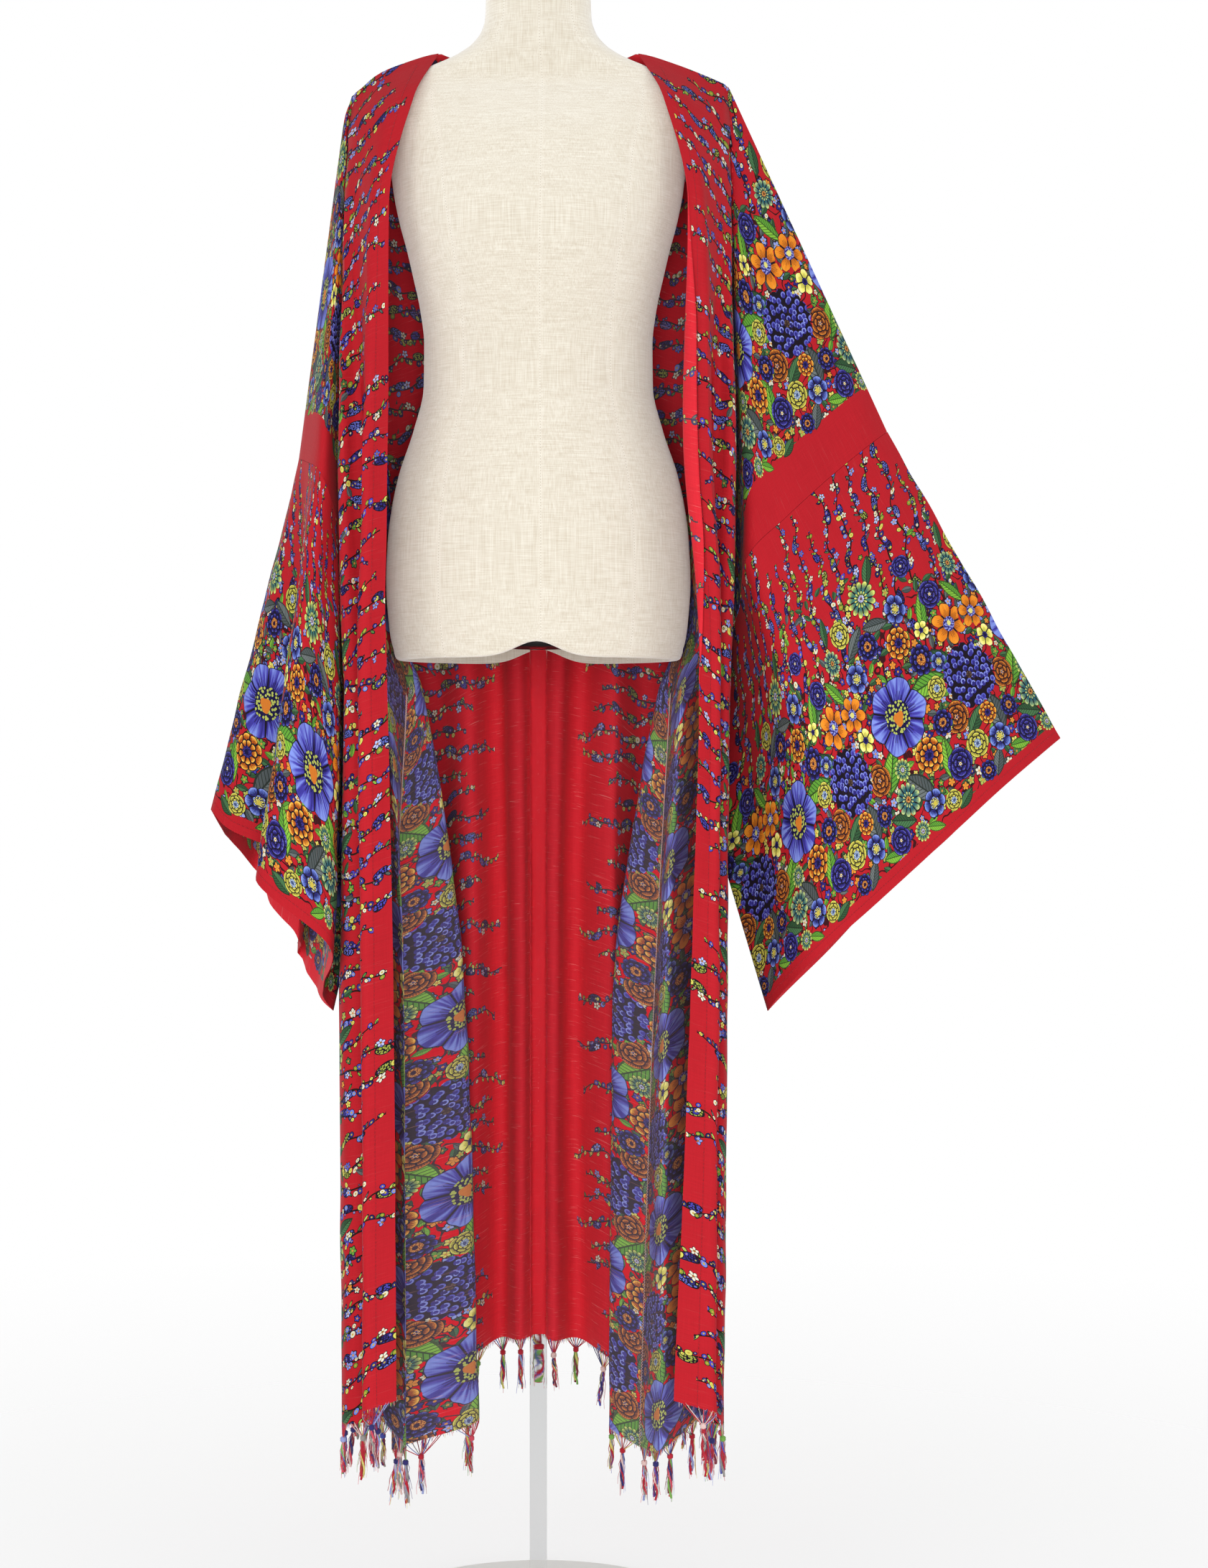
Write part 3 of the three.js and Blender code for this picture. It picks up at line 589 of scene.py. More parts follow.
@dataclass(frozen=True)
class Graph:
    """Makes the nodes of one node tree."""

    tree: NodeTree
    COLUMN = 14

    def fill(self, node: Node, inputs: Inputs) -> Node:
        """Links or sets a node's inputs.

        Args:
            node: The node.
            inputs: Wires and values, in the order of the inputs or by their names.

        Returns:
            The node.
        """
        for key, value in inputs.items() if isinstance(inputs, dict) else enumerate(inputs):
            if isinstance(value, Wire):
                self.tree.links.new(value.socket, node.inputs[key])
            else:
                node.inputs[key].default_value = value
        return node

    def node(self, kind: str, inputs: Inputs = (), **settings: Any) -> Node:
        """Adds a node, laid out in columns.

        Args:
            kind: Its type.
            inputs: What goes into it, as for fill.
            settings: Its other settings.

        Returns:
            The node.
        """
        made = self.tree.nodes.new(kind)
        count = len(self.tree.nodes)
        made.location = (200.0 * (count // self.COLUMN), -170.0 * (count % self.COLUMN))
        for name, value in settings.items():
            setattr(made, name, value)
        return self.fill(made, inputs)

    def out(self, kind: str, output: int | str, inputs: Inputs = (), **settings: Any) -> Wire:
        """Adds a node and gives the wire of one of its outputs."""
        return Wire(self, self.node(kind, inputs, **settings).outputs[output])

    def outs(self, kind: str, inputs: Inputs = (), **settings: Any) -> list[Wire]:
        """Adds a node and gives the wires of all its outputs."""
        return [Wire(self, socket) for socket in self.node(kind, inputs, **settings).outputs]

    def math(self, operation: str, *values: Feed, **settings: Any) -> Wire:
        """A Math node."""
        return self.out("ShaderNodeMath", 0, values, operation=operation, **settings)

    def vector(self, operation: str, *values: Feed) -> Wire:
        """A Vector Math node, whose number comes out for a length."""
        output = "Value" if operation == "LENGTH" else "Vector"
        return self.out("ShaderNodeVectorMath", output, values, operation=operation)

    def scale(self, vector: Feed, by: Feed) -> Wire:
        """A vector times a number."""
        return self.out("ShaderNodeVectorMath", 0, {"Vector": vector, "Scale": by}, operation="SCALE")

    def turn(self, vector: Feed, angle: Feed) -> Wire:
        """A vector turned about the third axis."""
        inputs = {"Vector": vector, "Angle": angle}
        return self.out("ShaderNodeVectorRotate", 0, inputs, rotation_type="Z_AXIS")

    def combine(self, x: Feed, y: Feed, z: Feed = 0.0) -> Wire:
        """A vector from three numbers."""
        return self.out("ShaderNodeCombineXYZ", 0, (x, y, z))

    def parts(self, vector: Feed) -> list[Wire]:
        """The three numbers of a vector or a colour."""
        return self.outs("ShaderNodeSeparateXYZ", (vector,))

    def mix(self, share: Feed, first: Feed, second: Feed, kind: str = "FLOAT", **settings: Any) -> Wire:
        """Goes from one value to another.

        Args:
            share: How far it goes, from 0 to 1.
            first: The number, vector or colour at 0.
            second: The one at 1.
            kind: FLOAT, VECTOR or RGBA.
            settings: The node's other settings.

        Returns:
            The mixed value.
        """
        # The node has a pair of inputs and an output for each kind, in this order.
        k = ("FLOAT", "VECTOR", "RGBA").index(kind)
        pair = {2 * k + 2: first, 2 * k + 3: second}
        return self.out("ShaderNodeMix", k, {0: share, **pair}, data_type=kind, **settings)

    def tint(self, share: Feed, first: Feed, second: Feed, blend: str = "MIX") -> Wire:
        """Goes from one colour to another."""
        return self.mix(share, first, second, "RGBA", blend_type=blend)

    def shade(self, colour: Feed, light: Wire) -> Wire:
        """A colour times a brightness."""
        return self.tint(1.0, colour, self.combine(light, light, light), "MULTIPLY")

    def table(self, index: Feed, rows: Sequence[Sequence[float]]) -> Wire:
        """Looks up a row of a table by its whole number.

        Args:
            index: The row's number.
            rows: Rows of up to three numbers, or colours.

        Returns:
            The row as a colour.
        """
        made = self.node("ShaderNodeValToRGB", ((index + 0.5) / float(len(rows)),))
        made.color_ramp.interpolation = "CONSTANT"
        for i, row in enumerate(rows):
            elements = made.color_ramp.elements
            element = elements[i] if i < 2 else elements.new(i / len(rows))
            element.position = i / len(rows)
            element.color = (*row[:3], 1.0)
        return Wire(self, made.outputs[0])

    def codes(self, index: Feed, codes: Iterable[str]) -> Wire:
        """Looks up a colour among hexadecimal codes by its whole number."""
        return self.table(index, [linear(code) for code in codes])

    def noise(self, vector: Feed, scale: Feed, detail: Feed = 2.0, roughness: float = 0.5) -> Wire:
        """Soft noise from 0 to 1."""
        inputs = {"Vector": vector, "Scale": scale, "Detail": detail, "Roughness": roughness}
        return self.out("ShaderNodeTexNoise", "Fac", inputs, noise_dimensions="3D")

    def spots(self, vector: Feed, scale: float, randomness: float) -> list[Wire]:
        """Scattered points: the distance to the nearest, its random colour, and its place in spot units."""
        inputs = {"Vector": vector, "Scale": scale, "Randomness": randomness}
        return self.outs("ShaderNodeTexVoronoi", inputs, voronoi_dimensions="2D", feature="F1")[:3]

    def chance(self, vector: Feed) -> list[Wire]:
        """Three random numbers from 0 to 1 for each whole place."""
        return self.parts(self.out("ShaderNodeTexWhiteNoise", "Color", (vector,), noise_dimensions="3D"))

    def group(self, tree: NodeTree, **inputs: Feed) -> dict[str, Wire]:
        """Places a node group and gives its outputs by name."""
        return {wire.socket.name: wire for wire in self.outs("ShaderNodeGroup", inputs, node_tree=tree)}

    def bump(self, height: Wire, strength: float, distance: float) -> Wire:
        """A normal that follows a height."""
        inputs = {"Strength": strength, "Distance": distance, "Height": height}
        return self.out("ShaderNodeBump", 0, inputs)


class GroupMaker:
    """Starts a shader node group and closes it with its outputs."""

    def __init__(self, name: str, inputs: dict[str, str], outputs: dict[str, str]) -> None:
        """Makes the group with its sockets.

        Args:
            name: The group's name.
            inputs: The kinds of its inputs by name.
            outputs: The kinds of its outputs by name.
        """
        self.tree = bpy.data.node_groups.new(name, "ShaderNodeTree")
        for in_out, sockets in (("INPUT", inputs), ("OUTPUT", outputs)):
            for socket, kind in sockets.items():
                self.tree.interface.new_socket(name=socket, in_out=in_out, socket_type=f"NodeSocket{kind}")
        self.graph = Graph(self.tree)
        self.inputs = dict(zip(inputs, self.graph.outs("NodeGroupInput")))

    def close(self, **outputs: Feed) -> NodeTree:
        """Feeds the outputs and returns the finished group."""
        self.graph.node("NodeGroupOutput", outputs)
        return self.tree


def new_material(name: str) -> tuple[Material, Graph, Node]:
    """Starts a material.

    Args:
        name: Its name.

    Returns:
        The material, its graph and its main shader.
    """
    made = bpy.data.materials.new(name)
    made.use_nodes = True
    return made, Graph(made.node_tree), made.node_tree.nodes["Principled BSDF"]


def fine_grain(graph: Graph, scale: float, detail: float) -> Wire:
    """A fine unevenness from a node group that is built once.

    Args:
        graph: The material's graph.
        scale: How fine it is.
        detail: How many finer levels it has.

    Returns:
        The unevenness, from 0 to 1.
    """
    tree = bpy.data.node_groups.get("Fine grain")
    if tree is None:
        sockets = {"Place": "Vector", "Scale": "Float", "Detail": "Float"}
        maker = GroupMaker("Fine grain", sockets, {"Grain": "Float"})
        tree = maker.close(Grain=maker.graph.noise(*maker.inputs.values()))
    place = graph.out("ShaderNodeTexCoord", "Object")
    return graph.group(tree, Place=place, Scale=scale, Detail=detail)["Grain"]


# ---- the printed border, in millimetres of flat cloth

PERIOD = 200.0
WRAP = ((PERIOD / 2, 900.0, 1.0), (-PERIOD / 2, -900.0, -1.0))
INK = linear("170F1C")
PAINTED = {"Color": "Color", "Inside": "Float"}


@dataclass(frozen=True)
class BloomLook:
    """How one kind of flower is drawn.

    Its colours are those of the petals' rim, middle and base, and of the heart's ground, stamens and core.
    """

    petals: int
    notch: float
    rings: int
    heart: float
    streak: float
    line: float
    colours: str


class Numbered(Enum):
    """Options that the shader tables hold in order."""

    @property
    def number(self) -> int:
        """The option's number in the tables."""
        return list(type(self)).index(self)


class Bloom(Numbered):
    """The kinds of flower in the border."""

    POPPY = BloomLook(6, 0.13, 1, 0.4, 1.3, 0.018, "7E90DE 4540A8 17124E 14103E AEB858 CC7628")
    DAHLIA = BloomLook(17, 0.55, 6, 0.11, 0.7, 0.012, "6C7BD6 2A2378 120D45 2A1A1A 5A4636 3A2A22")
    LILY = BloomLook(6, 0.42, 1, 0.3, 0.5, 0.03, "EE982E DE7E1C A04C10 2E2870 8C93D8 D8D27A")
    MARIGOLD = BloomLook(9, 0.34, 3, 0.3, 0.8, 0.035, "F8D86A F2A436 B4520F 1C1650 3A3484 15103A")
    DAISY = BloomLook(13, 0.55, 2, 0.2, 0.7, 0.028, "EDEB7C A9BE62 3F7A72 7A83B4 D5D8E6 6B4A3A")
    YELLOW_ROSE = BloomLook(6, 0.3, 4, 0.3, 0.3, 0.035, "F1EF86 E2DB5A A9A23C 5C7396 B9C7DC 3C4C78")
    ANEMONE = BloomLook(6, 0.36, 2, 0.34, 0.7, 0.035, "93A6E2 5F75CA 262770 1E1A52 E6E070 C9B648")
    BLUE_ROSE = BloomLook(5, 0.32, 4, 0.1, 0.8, 0.032, "8089D2 443FA2 1E1860 F0C988 E9E6A0 2A2478")
    ORANGE_ROSE = BloomLook(5, 0.3, 4, 0.12, 0.6, 0.032, "F0A63E D0762A 7C3E16 4A3A8C F2C86A 2A1A4A")
    STAR = BloomLook(9, 0.45, 3, 0.34, 0.8, 0.04, "7080D2 353092 151044 8A4A1E E09A4A 2A1430")
    CREAM = BloomLook(5, 0.3, 1, 0.26, 0.3, 0.038, "F6F2A4 EDE56A B9B446 1D1856 2C2770 120E38")
    SEA_DAISY = BloomLook(12, 0.5, 2, 0.18, 0.8, 0.028, "D9DC84 86A97C 2C6470 9A5A2A E0A45A 5A2E1A")


@dataclass(frozen=True)
class FlowerSite:
    """One flower in each repeat of the border: its place along, and up from the margin, and its radius."""

    kind: Bloom
    along: float
    up: float
    radius: float


# The later ones lie over the earlier ones.
FLOWERS = rows_of(
    FlowerSite, (Bloom.DAISY, 28, 246, 21), (Bloom.YELLOW_ROSE, 76, 232, 15), (Bloom.ANEMONE, 196, 212, 16),
    (Bloom.SEA_DAISY, 104, 214, 14), (Bloom.BLUE_ROSE, 148, 200, 15), (Bloom.STAR, 48, 202, 15),
    (Bloom.BLUE_ROSE, 164, 244, 13), (Bloom.MARIGOLD, 12, 182, 17), (Bloom.ANEMONE, 80, 184, 16),
    (Bloom.STAR, 196, 152, 17), (Bloom.CREAM, 178, 176, 11), (Bloom.LILY, 144, 162, 24),
    (Bloom.LILY, 108, 158, 21), (Bloom.ORANGE_ROSE, 112, 86, 17), (Bloom.YELLOW_ROSE, 196, 118, 13),
    (Bloom.ANEMONE, 178, 138, 11), (Bloom.DAHLIA, 152, 106, 34), (Bloom.ORANGE_ROSE, 190, 80, 17),
    (Bloom.CREAM, 106, 128, 14), (Bloom.POPPY, 54, 124, 41), (Bloom.MARIGOLD, 40, 70, 19),
    (Bloom.STAR, 8, 86, 14), (Bloom.DAISY, 78, 78, 12), (Bloom.SEA_DAISY, 88, 50, 18),
    (Bloom.YELLOW_ROSE, 182, 44, 15), (Bloom.STAR, 126, 54, 12), (Bloom.MARIGOLD, 154, 62, 12),
    (Bloom.BLUE_ROSE, 12, 40, 17), (Bloom.ANEMONE, 60, 28, 15), (Bloom.ANEMONE, 154, 34, 15),
    (Bloom.BLUE_ROSE, 118, 22, 15), (Bloom.YELLOW_ROSE, 38, 16, 11), (Bloom.DAISY, 88, 14, 11),
    (Bloom.STAR, 186, 14, 11),
)


class Foliage(Numbered):
    """The kinds of leaf in the border, each with its lighter and its darker green."""

    BRIGHT = ("7FB93C", "478A30")
    DARK = ("47744A", "203F28")
    GREY = ("687070", "3C4446")


@dataclass(frozen=True)
class LeafSite:
    """One leaf in each repeat of the border: its middle, half length, half width and turn in degrees."""

    kind: Foliage
    along: float
    up: float
    length: float
    width: float
    turn: float


LEAVES = rows_of(
    LeafSite, (Foliage.DARK, 6, 268, 20, 7, 120), (Foliage.DARK, 96, 246, 18, 6, 110),
    (Foliage.BRIGHT, 168, 190, 22, 7, 115), (Foliage.GREY, 62, 214, 20, 8, 150),
    (Foliage.BRIGHT, 120, 188, 20, 7, 60), (Foliage.GREY, 28, 214, 18, 7, 20),
    (Foliage.DARK, 176, 142, 20, 8, 40), (Foliage.BRIGHT, 4, 128, 26, 12, 10),
    (Foliage.BRIGHT, 92, 84, 24, 12, 130), (Foliage.GREY, 66, 50, 24, 12, 60),
    (Foliage.BRIGHT, 22, 54, 22, 9, 110), (Foliage.GREY, 144, 56, 22, 12, 95),
    (Foliage.DARK, 170, 64, 20, 8, 150), (Foliage.DARK, 104, 36, 18, 8, 30),
    (Foliage.BRIGHT, 136, 14, 14, 6, 20), (Foliage.DARK, 24, 8, 13, 6, 160),
    (Foliage.BRIGHT, 70, 8, 13, 5, 30), (Foliage.GREY, 170, 14, 15, 7, 130),
)


class BorderPrint:
    """The printed border as node groups: sprigs, florets, leaves and flowers over a plain ground."""

    def __init__(self) -> None:
        """Builds the groups, each once."""
        self.bloom = self._bloom()
        self.leaf = self._leaf()
        self.florets = self._florets()
        self.sprigs = self._sprigs()
        self.thicket = self._thicket()
        self.border = self._border()

    @staticmethod
    def _flower_sites(graph: Graph, place: Wire) -> tuple[Wire, Wire]:
        """Finds the flower that covers a place.

        Args:
            graph: The graph to build in.
            place: Along and up, in millimetres.

        Returns:
            The place within the flower, whose edge is at 1, and its kind with its turn as a fraction.
        """
        local: Feed = (9.0, 9.0, 0.0)
        kind: Feed = 0.0
        for i, site in enumerate(FLOWERS):
            offset = graph.vector("SUBTRACT", place, (site.along, site.up, 0.0))
            near = graph.vector("WRAP", offset, *WRAP)
            inside = graph.scale(near, 1 / site.radius)
            on = graph.vector("LENGTH", inside).below(1.0)
            local = graph.mix(on, local, inside, "VECTOR")
            kind = graph.mix(on, kind, site.kind.number + (i * 0.37) % 0.9)
        return local, kind

    @staticmethod
    def _leaf_sites(graph: Graph, place: Wire) -> tuple[Wire, Wire]:
        """Finds the leaf that covers a place, as the flower's finder does.

        Args:
            graph: The graph to build in.
            place: Along and up, in millimetres.

        Returns:
            The place within the leaf, whose tip is at 1 along the first axis, and its kind.
        """
        local: Feed = (9.0, 9.0, 0.0)
        kind: Feed = 0.0
        for site in LEAVES:
            offset = graph.vector("SUBTRACT", place, (site.along, site.up, 0.0))
            near = graph.vector("WRAP", offset, *WRAP)
            turned = graph.turn(near, math.radians(-site.turn))
            inside = graph.vector("MULTIPLY", turned, (1 / site.length, 1 / site.width, 0.0))
            x, y, _ = graph.parts(inside)
            on = y.size().below(1.0 - x * x)
            local = graph.mix(on, local, inside, "VECTOR")
            kind = graph.mix(on, kind, site.kind.number)
        return local, kind

    @staticmethod
    def _bloom() -> NodeTree:
        """A flower with rings of petals, drawn with ink lines, painterly streaks and a heart of stamens.

        Returns:
            The group.
        """
        maker = GroupMaker("Bloom", {"Local": "Vector", "Kind": "Float"}, PAINTED)
        g, local, kind = maker.graph, maker.inputs["Local"], maker.inputs["Kind"]
        looks = [bloom.value for bloom in Bloom]
        index = kind.floor()
        shape = g.table(index, [(k.petals / 20, k.notch, k.rings / 8) for k in looks])
        petals, notch, rings = g.parts(shape)
        petals, rings = petals * 20.0, rings * 8.0
        heart, streak, line = g.parts(g.table(index, [(k.heart, k.streak, k.line * 10) for k in looks]))
        line = line * 0.13
        x, y, _ = g.parts(local)
        radius = g.vector("LENGTH", local)
        wobble = g.noise(g.combine(x * 2.4, y * 2.4, kind * 7.0), 1.0, 1.0) - 0.5
        turns = (g.math("ARCTAN2", y, x) / math.tau + kind.fract()) * petals
        scaled = radius * rings
        ring = scaled.floor()
        slot = turns + ring * 0.5
        off = slot.fract() - 0.5
        sweep = off.size() * 2.0
        depth = scaled - ring
        edge = 1.0 - notch * g.math("POWER", sweep, 2.4) + wobble * 0.22 - 0.06
        gap = edge - depth
        rim_line = gap.size() / rings
        side_line = (0.5 - off.size()) * math.tau * radius / petals + depth.above(edge)
        ink = ((line - rim_line.least(side_line)) / (line * 0.6) + 0.6).clamp()
        stroke_place = g.combine(off * 9.0, depth * 1.3, slot.floor() * 3.7 + ring * 11.3)
        strokes = g.noise(stroke_place, 1.0, 1.5) - 0.5
        tone = depth - sweep * sweep * 0.22 + strokes * streak * 1.5 - gap.below(0.0)
        codes = zip(*(look.colours.split() for look in looks))
        rim, flesh, base, ground, stamens, core = (g.codes(index, part) for part in codes)
        petal = g.tint((tone * 2.2 - 0.15).clamp(), base, flesh)
        petal = g.tint((tone * 2.4 - 1.25).clamp(), petal, rim)
        vein = ((off.size() * 9.0).fract() - 0.5).size().below(0.17) * depth.below(0.66 - sweep * 0.35)
        petal = g.tint(vein * 0.75, petal, INK)
        petal = g.tint(ink, petal, INK)
        curl_place = g.scale(local, 4.8)
        near, lot, spot = g.spots(curl_place, 1.0, 0.85)
        lean = g.parts(g.vector("SUBTRACT", curl_place, spot))[1]
        curl = (near - 0.33).size().below(0.09) * (lean + g.parts(lot)[0] * 0.3).above(0.0)
        curled = g.tint(near.above(0.45), g.tint(radius, linear("17114E"), linear("3E3A9C")), INK)
        curled = g.tint(curl, curled, g.tint(g.parts(lot)[1], linear("4A4DB4"), linear("8E9BE0")))
        dahlia = index.above(Bloom.DAHLIA.number - 0.5) * index.below(Bloom.DAHLIA.number + 0.5)
        petal = g.tint(dahlia, petal, curled)
        dots = g.spots(local, 11.0, 0.9)[0].below(0.36)
        middle = g.tint(dots, ground, stamens)
        middle = g.tint(radius.below(heart * (wobble + 0.42)), middle, core)
        paint = g.tint(radius.below(heart * (wobble * 0.5 + 1.0)), petal, middle)
        inside = (scaled - rings + 1.0).below(edge)
        return maker.close(Color=paint, Inside=inside)

    @staticmethod
    def _leaf() -> NodeTree:
        """A pointed leaf with a midrib, side veins and one darker half.

        Returns:
            The group.
        """
        maker = GroupMaker("Leaf", {"Local": "Vector", "Kind": "Float"}, PAINTED)
        g, kind = maker.graph, maker.inputs["Kind"]
        x, y, _ = g.parts(maker.inputs["Local"])
        light, dark = (g.codes(kind, greens) for greens in zip(*(leaf.value for leaf in Foliage)))
        blade = g.tint(y.above(0.0) * 0.7, light, dark)
        vein = ((x * 5.0 - y.size() * 2.2).fract() - 0.5).size().below(0.11)
        room = 1.0 - x * x - y.size()
        ink = vein.most(y.size().below(0.07)).most(room.below(0.17))
        return maker.close(Color=g.tint(ink * 0.85, blade, linear("1C241C")), Inside=room.above(0.0))

    @staticmethod
    def _florets() -> NodeTree:
        """Small scattered florets, buds and leaflets.

        Returns:
            The group.
        """
        maker = GroupMaker("Florets", {"Place": "Vector", "Share": "Float"}, PAINTED)
        g, place = maker.graph, maker.inputs["Place"]
        cell = 12.5
        spread = g.scale(place, 1 / cell)
        distance, colour, spot = g.spots(spread, 1.0, 0.85)
        pick, size, kept = g.parts(colour)
        x, y, _ = g.parts(g.vector("SUBTRACT", spread, spot))
        sweep = ((g.math("ARCTAN2", y, x) / math.tau + size) * 5.0).fract() - 0.5
        edge = (size * 0.18 + 0.30) * (1.08 - sweep.size() * 0.7)
        inside = distance.below(edge) * kept.below(maker.inputs["Share"])
        paints = "423DA2 7A8AD6 D8D064 2A2478 64983A DE8C30 93A2DC 466E3C D8D4BE A6AE52".split()
        paint = g.codes((pick * 10.0).floor(), paints)
        ink = distance.above(edge - 0.09).most(sweep.size().above(0.43))
        paint = g.tint(ink, paint, INK)
        paint = g.tint(distance.below(0.09), paint, linear("C98A3A"))
        return maker.close(Color=paint, Inside=inside)

    @staticmethod
    def _sprigs() -> NodeTree:
        """Wavy dark stems that grow up out of the border, with buds, florets and leaflets on both sides.

        Returns:
            The group.
        """
        maker = GroupMaker("Sprigs", {"Place": "Vector"}, PAINTED)
        g = maker.graph
        along, up, _ = g.parts(maker.inputs["Place"])
        along = along + (up - 300.0) * 0.22
        pitch, root, shortest, spread = 25.0, 150.0, 358.0, 78.0
        cell = (along / pitch).floor()
        first, second, third = g.chance(g.combine(cell, 3.0, 1.0))
        tip = first * spread + shortest
        wave = g.math("SINE", up / 12.0 + second * math.tau) * 3.6
        wave = wave + g.math("SINE", up / 5.2 + third * math.tau) * 1.3
        aside = along - (cell + 0.5) * pitch - wave - (up - 340.0) * (third - 0.5) * 0.07
        reach = tip - up
        growing = reach.above(0.0) * up.above(root)
        fullness = (reach / 70.0).clamp() * 0.45 + 0.55
        paint: Feed = linear("24130F")
        inside = aside.size().below(reach * 0.0020 + 0.78) * growing

        def lay(shown: Wire, fill: Wire) -> None:
            """Lays a colour over the sprigs where it shows.

            Args:
                shown: 1 where it shows.
                fill: The colour.
            """
            nonlocal paint, inside
            paint = g.tint(shown, paint, fill)
            inside = inside.most(shown)

        def lot_of(gap: float, key: float) -> tuple[Wire, Wire, Wire, Wire, Wire]:
            """Draws lots for each step up a stem.

            Args:
                gap: How far apart the steps are.
                key: Sets one kind of growth apart from the others.

            Returns:
                A lot, the side of the stem, a pick, how far up from the step's middle, and another pick.
            """
            step = (up / gap).floor()
            lot, turn, pick = g.chance(g.combine(cell, step, key))
            return lot, turn.above(0.5) * 2.0 - 1.0, pick, up - (step + 0.5) * gap, (turn * 53.0).fract()

        lot, side, pick, rise, _ = lot_of(11.5, 29.0)
        out = aside * side - fullness * 3.8
        slant = (out * 0.75 + rise * 0.66) / (pick * 1.8 + 3.4)
        slim = g.vector("LENGTH", g.combine(slant, (rise * 0.75 - out * 0.66) / 1.6))
        fill = g.codes((pick * 3.99).floor(), ("86B13F", "4F7B38", "A9B955", "525F58"))
        lay(slim.below(1.0) * lot.below(0.8) * growing, g.tint(slim.above(0.64), fill, INK))

        lot, side, pick, rise, _ = lot_of(29.0, 53.0)
        high = (rise - (pick - 0.5) * 6.0) / (pick * 4.0 + 6.5)
        bunch = g.vector("LENGTH", g.combine((aside - side * 3.6) / 4.9, high))
        beads = g.spots(g.combine(along, up), 0.46, 0.7)[0]
        fill = g.codes((pick * 3.99).floor(), ("4744A8", "98A344", "2E2A74", "5D6ABF"))
        fill = g.tint(beads.above(0.40).most(bunch.above(0.84)), fill, INK)
        lay(bunch.below(1.0) * lot.below(0.78) * growing * reach.above(16.0), fill)

        rows = ((9.6, 3.8, 1.9, 2.0, 0.9), (7.1, 2.6, 1.2, 1.4, 0.7), (12.7, 5.2, 1.5, 1.6, 0.7))
        for gap, far, base, extra, share in rows:
            lot, side, pick, rise, other = lot_of(gap, 7.0 + gap)
            out = aside - side * (lot * 1.8 + far - 1.2) * fullness
            bud = g.vector("LENGTH", g.combine(out, rise - (pick - 0.5) * 0.5 * gap))
            size = (pick * extra + base) * ((reach / 110.0).clamp() * 0.30 + 0.88)
            paints = ("4A45B4", "CFCB5C", "7080D4", "1F1A56", "3A3590", "D9D5BC", "7F932F", "2C2870")
            fill = g.codes((other * 7.99).floor(), paints)
            fill = g.tint(bud.below(size * 0.30), fill, linear("B9A040"))
            lay(bud.below(size) * lot.below(share) * growing, g.tint(bud.above(size - 0.62), fill, INK))

        lot, side, pick, rise, other = lot_of(37.0, 91.0)
        out = aside - side * 4.4
        petal = g.math("SINE", g.math("ARCTAN2", out, rise) * 5.0 + pick * math.tau)
        wide = g.vector("LENGTH", g.combine(out, rise))
        edge = petal * 0.75 + pick + 3.3
        fill = g.codes((other * 3.99).floor(), ("8993DA", "DEDBC6", "5A60C0", "B5BEEA"))
        fill = g.tint(wide.below(1.15), fill, linear("A8702C"))
        fill = g.tint(wide.above(edge - 0.65).most(petal.below(-0.8)), fill, INK)
        lay(wide.below(edge) * lot.below(0.62) * growing * reach.above(10.0), fill)
        return maker.close(Color=paint, Inside=inside)

    def _thicket(self) -> NodeTree:
        """Thin curling stems, and small leaves that lie every way between the flowers.

        Returns:
            The group.
        """
        maker = GroupMaker("Thicket", {"Place": "Vector", "Share": "Float"}, PAINTED)
        g, place, share = maker.graph, maker.inputs["Place"], maker.inputs["Share"]
        cell, half_length, half_width = 15.0, 7.8, 3.5
        curls = g.noise(place, 0.042, 1.0)
        stem = ((curls * 6.0).fract() - 0.5).size().below(0.10) * share.above(0.3)
        spread = g.scale(place, 1 / cell)
        _, colour, spot = g.spots(spread, 1.0, 0.8)
        turn, pick, kept = g.parts(colour)
        turned = g.turn(g.vector("SUBTRACT", spread, spot), turn * math.tau)
        local = g.vector("MULTIPLY", turned, (cell / half_length, cell / half_width, 0.0))
        leaf = g.group(self.leaf, Local=local, Kind=(((pick * 3.99).floor() + 1.0) / 2.0).floor())
        shown = leaf["Inside"] * kept.below(share)
        return maker.close(Color=g.tint(shown, linear("3A0E14"), leaf["Color"]), Inside=stem.most(shown))

    def _border(self) -> NodeTree:
        """The whole border over its ground colour.

        Returns:
            The group.
        """
        sockets = {"Place": "Vector", "Ground": "Color"}
        maker = GroupMaker("Flower border", sockets, {"Color": "Color", "Printed": "Float"})
        g, place = maker.graph, maker.inputs["Place"]
        up = g.parts(place)[1]
        share = (((225.0 - up) / 55.0).clamp() * 0.80 + 0.14) * up.above(7.0) * up.below(300.0)
        leaf_place, foliage = self._leaf_sites(g, place)
        flower_place, bloom = self._flower_sites(g, place)
        layers = (
            g.group(self.sprigs, Place=place),
            g.group(self.thicket, Place=place, Share=share),
            g.group(self.florets, Place=place, Share=share),
            g.group(self.leaf, Local=leaf_place, Kind=foliage),
            g.group(self.bloom, Local=flower_place, Kind=bloom),
        )
        paint, printed = maker.inputs["Ground"], 0.0
        for layer in layers:
            paint = g.tint(layer["Inside"], paint, layer["Color"])
            printed = layer["Inside"].most(printed)
        return maker.close(Color=paint, Printed=printed)


# ---- small helpers


def eased(t: Array) -> Array:
    """A smooth step from 0 to 1."""
    t = np.clip(t, 0, 1)
    return t * t * (3 - 2 * t)


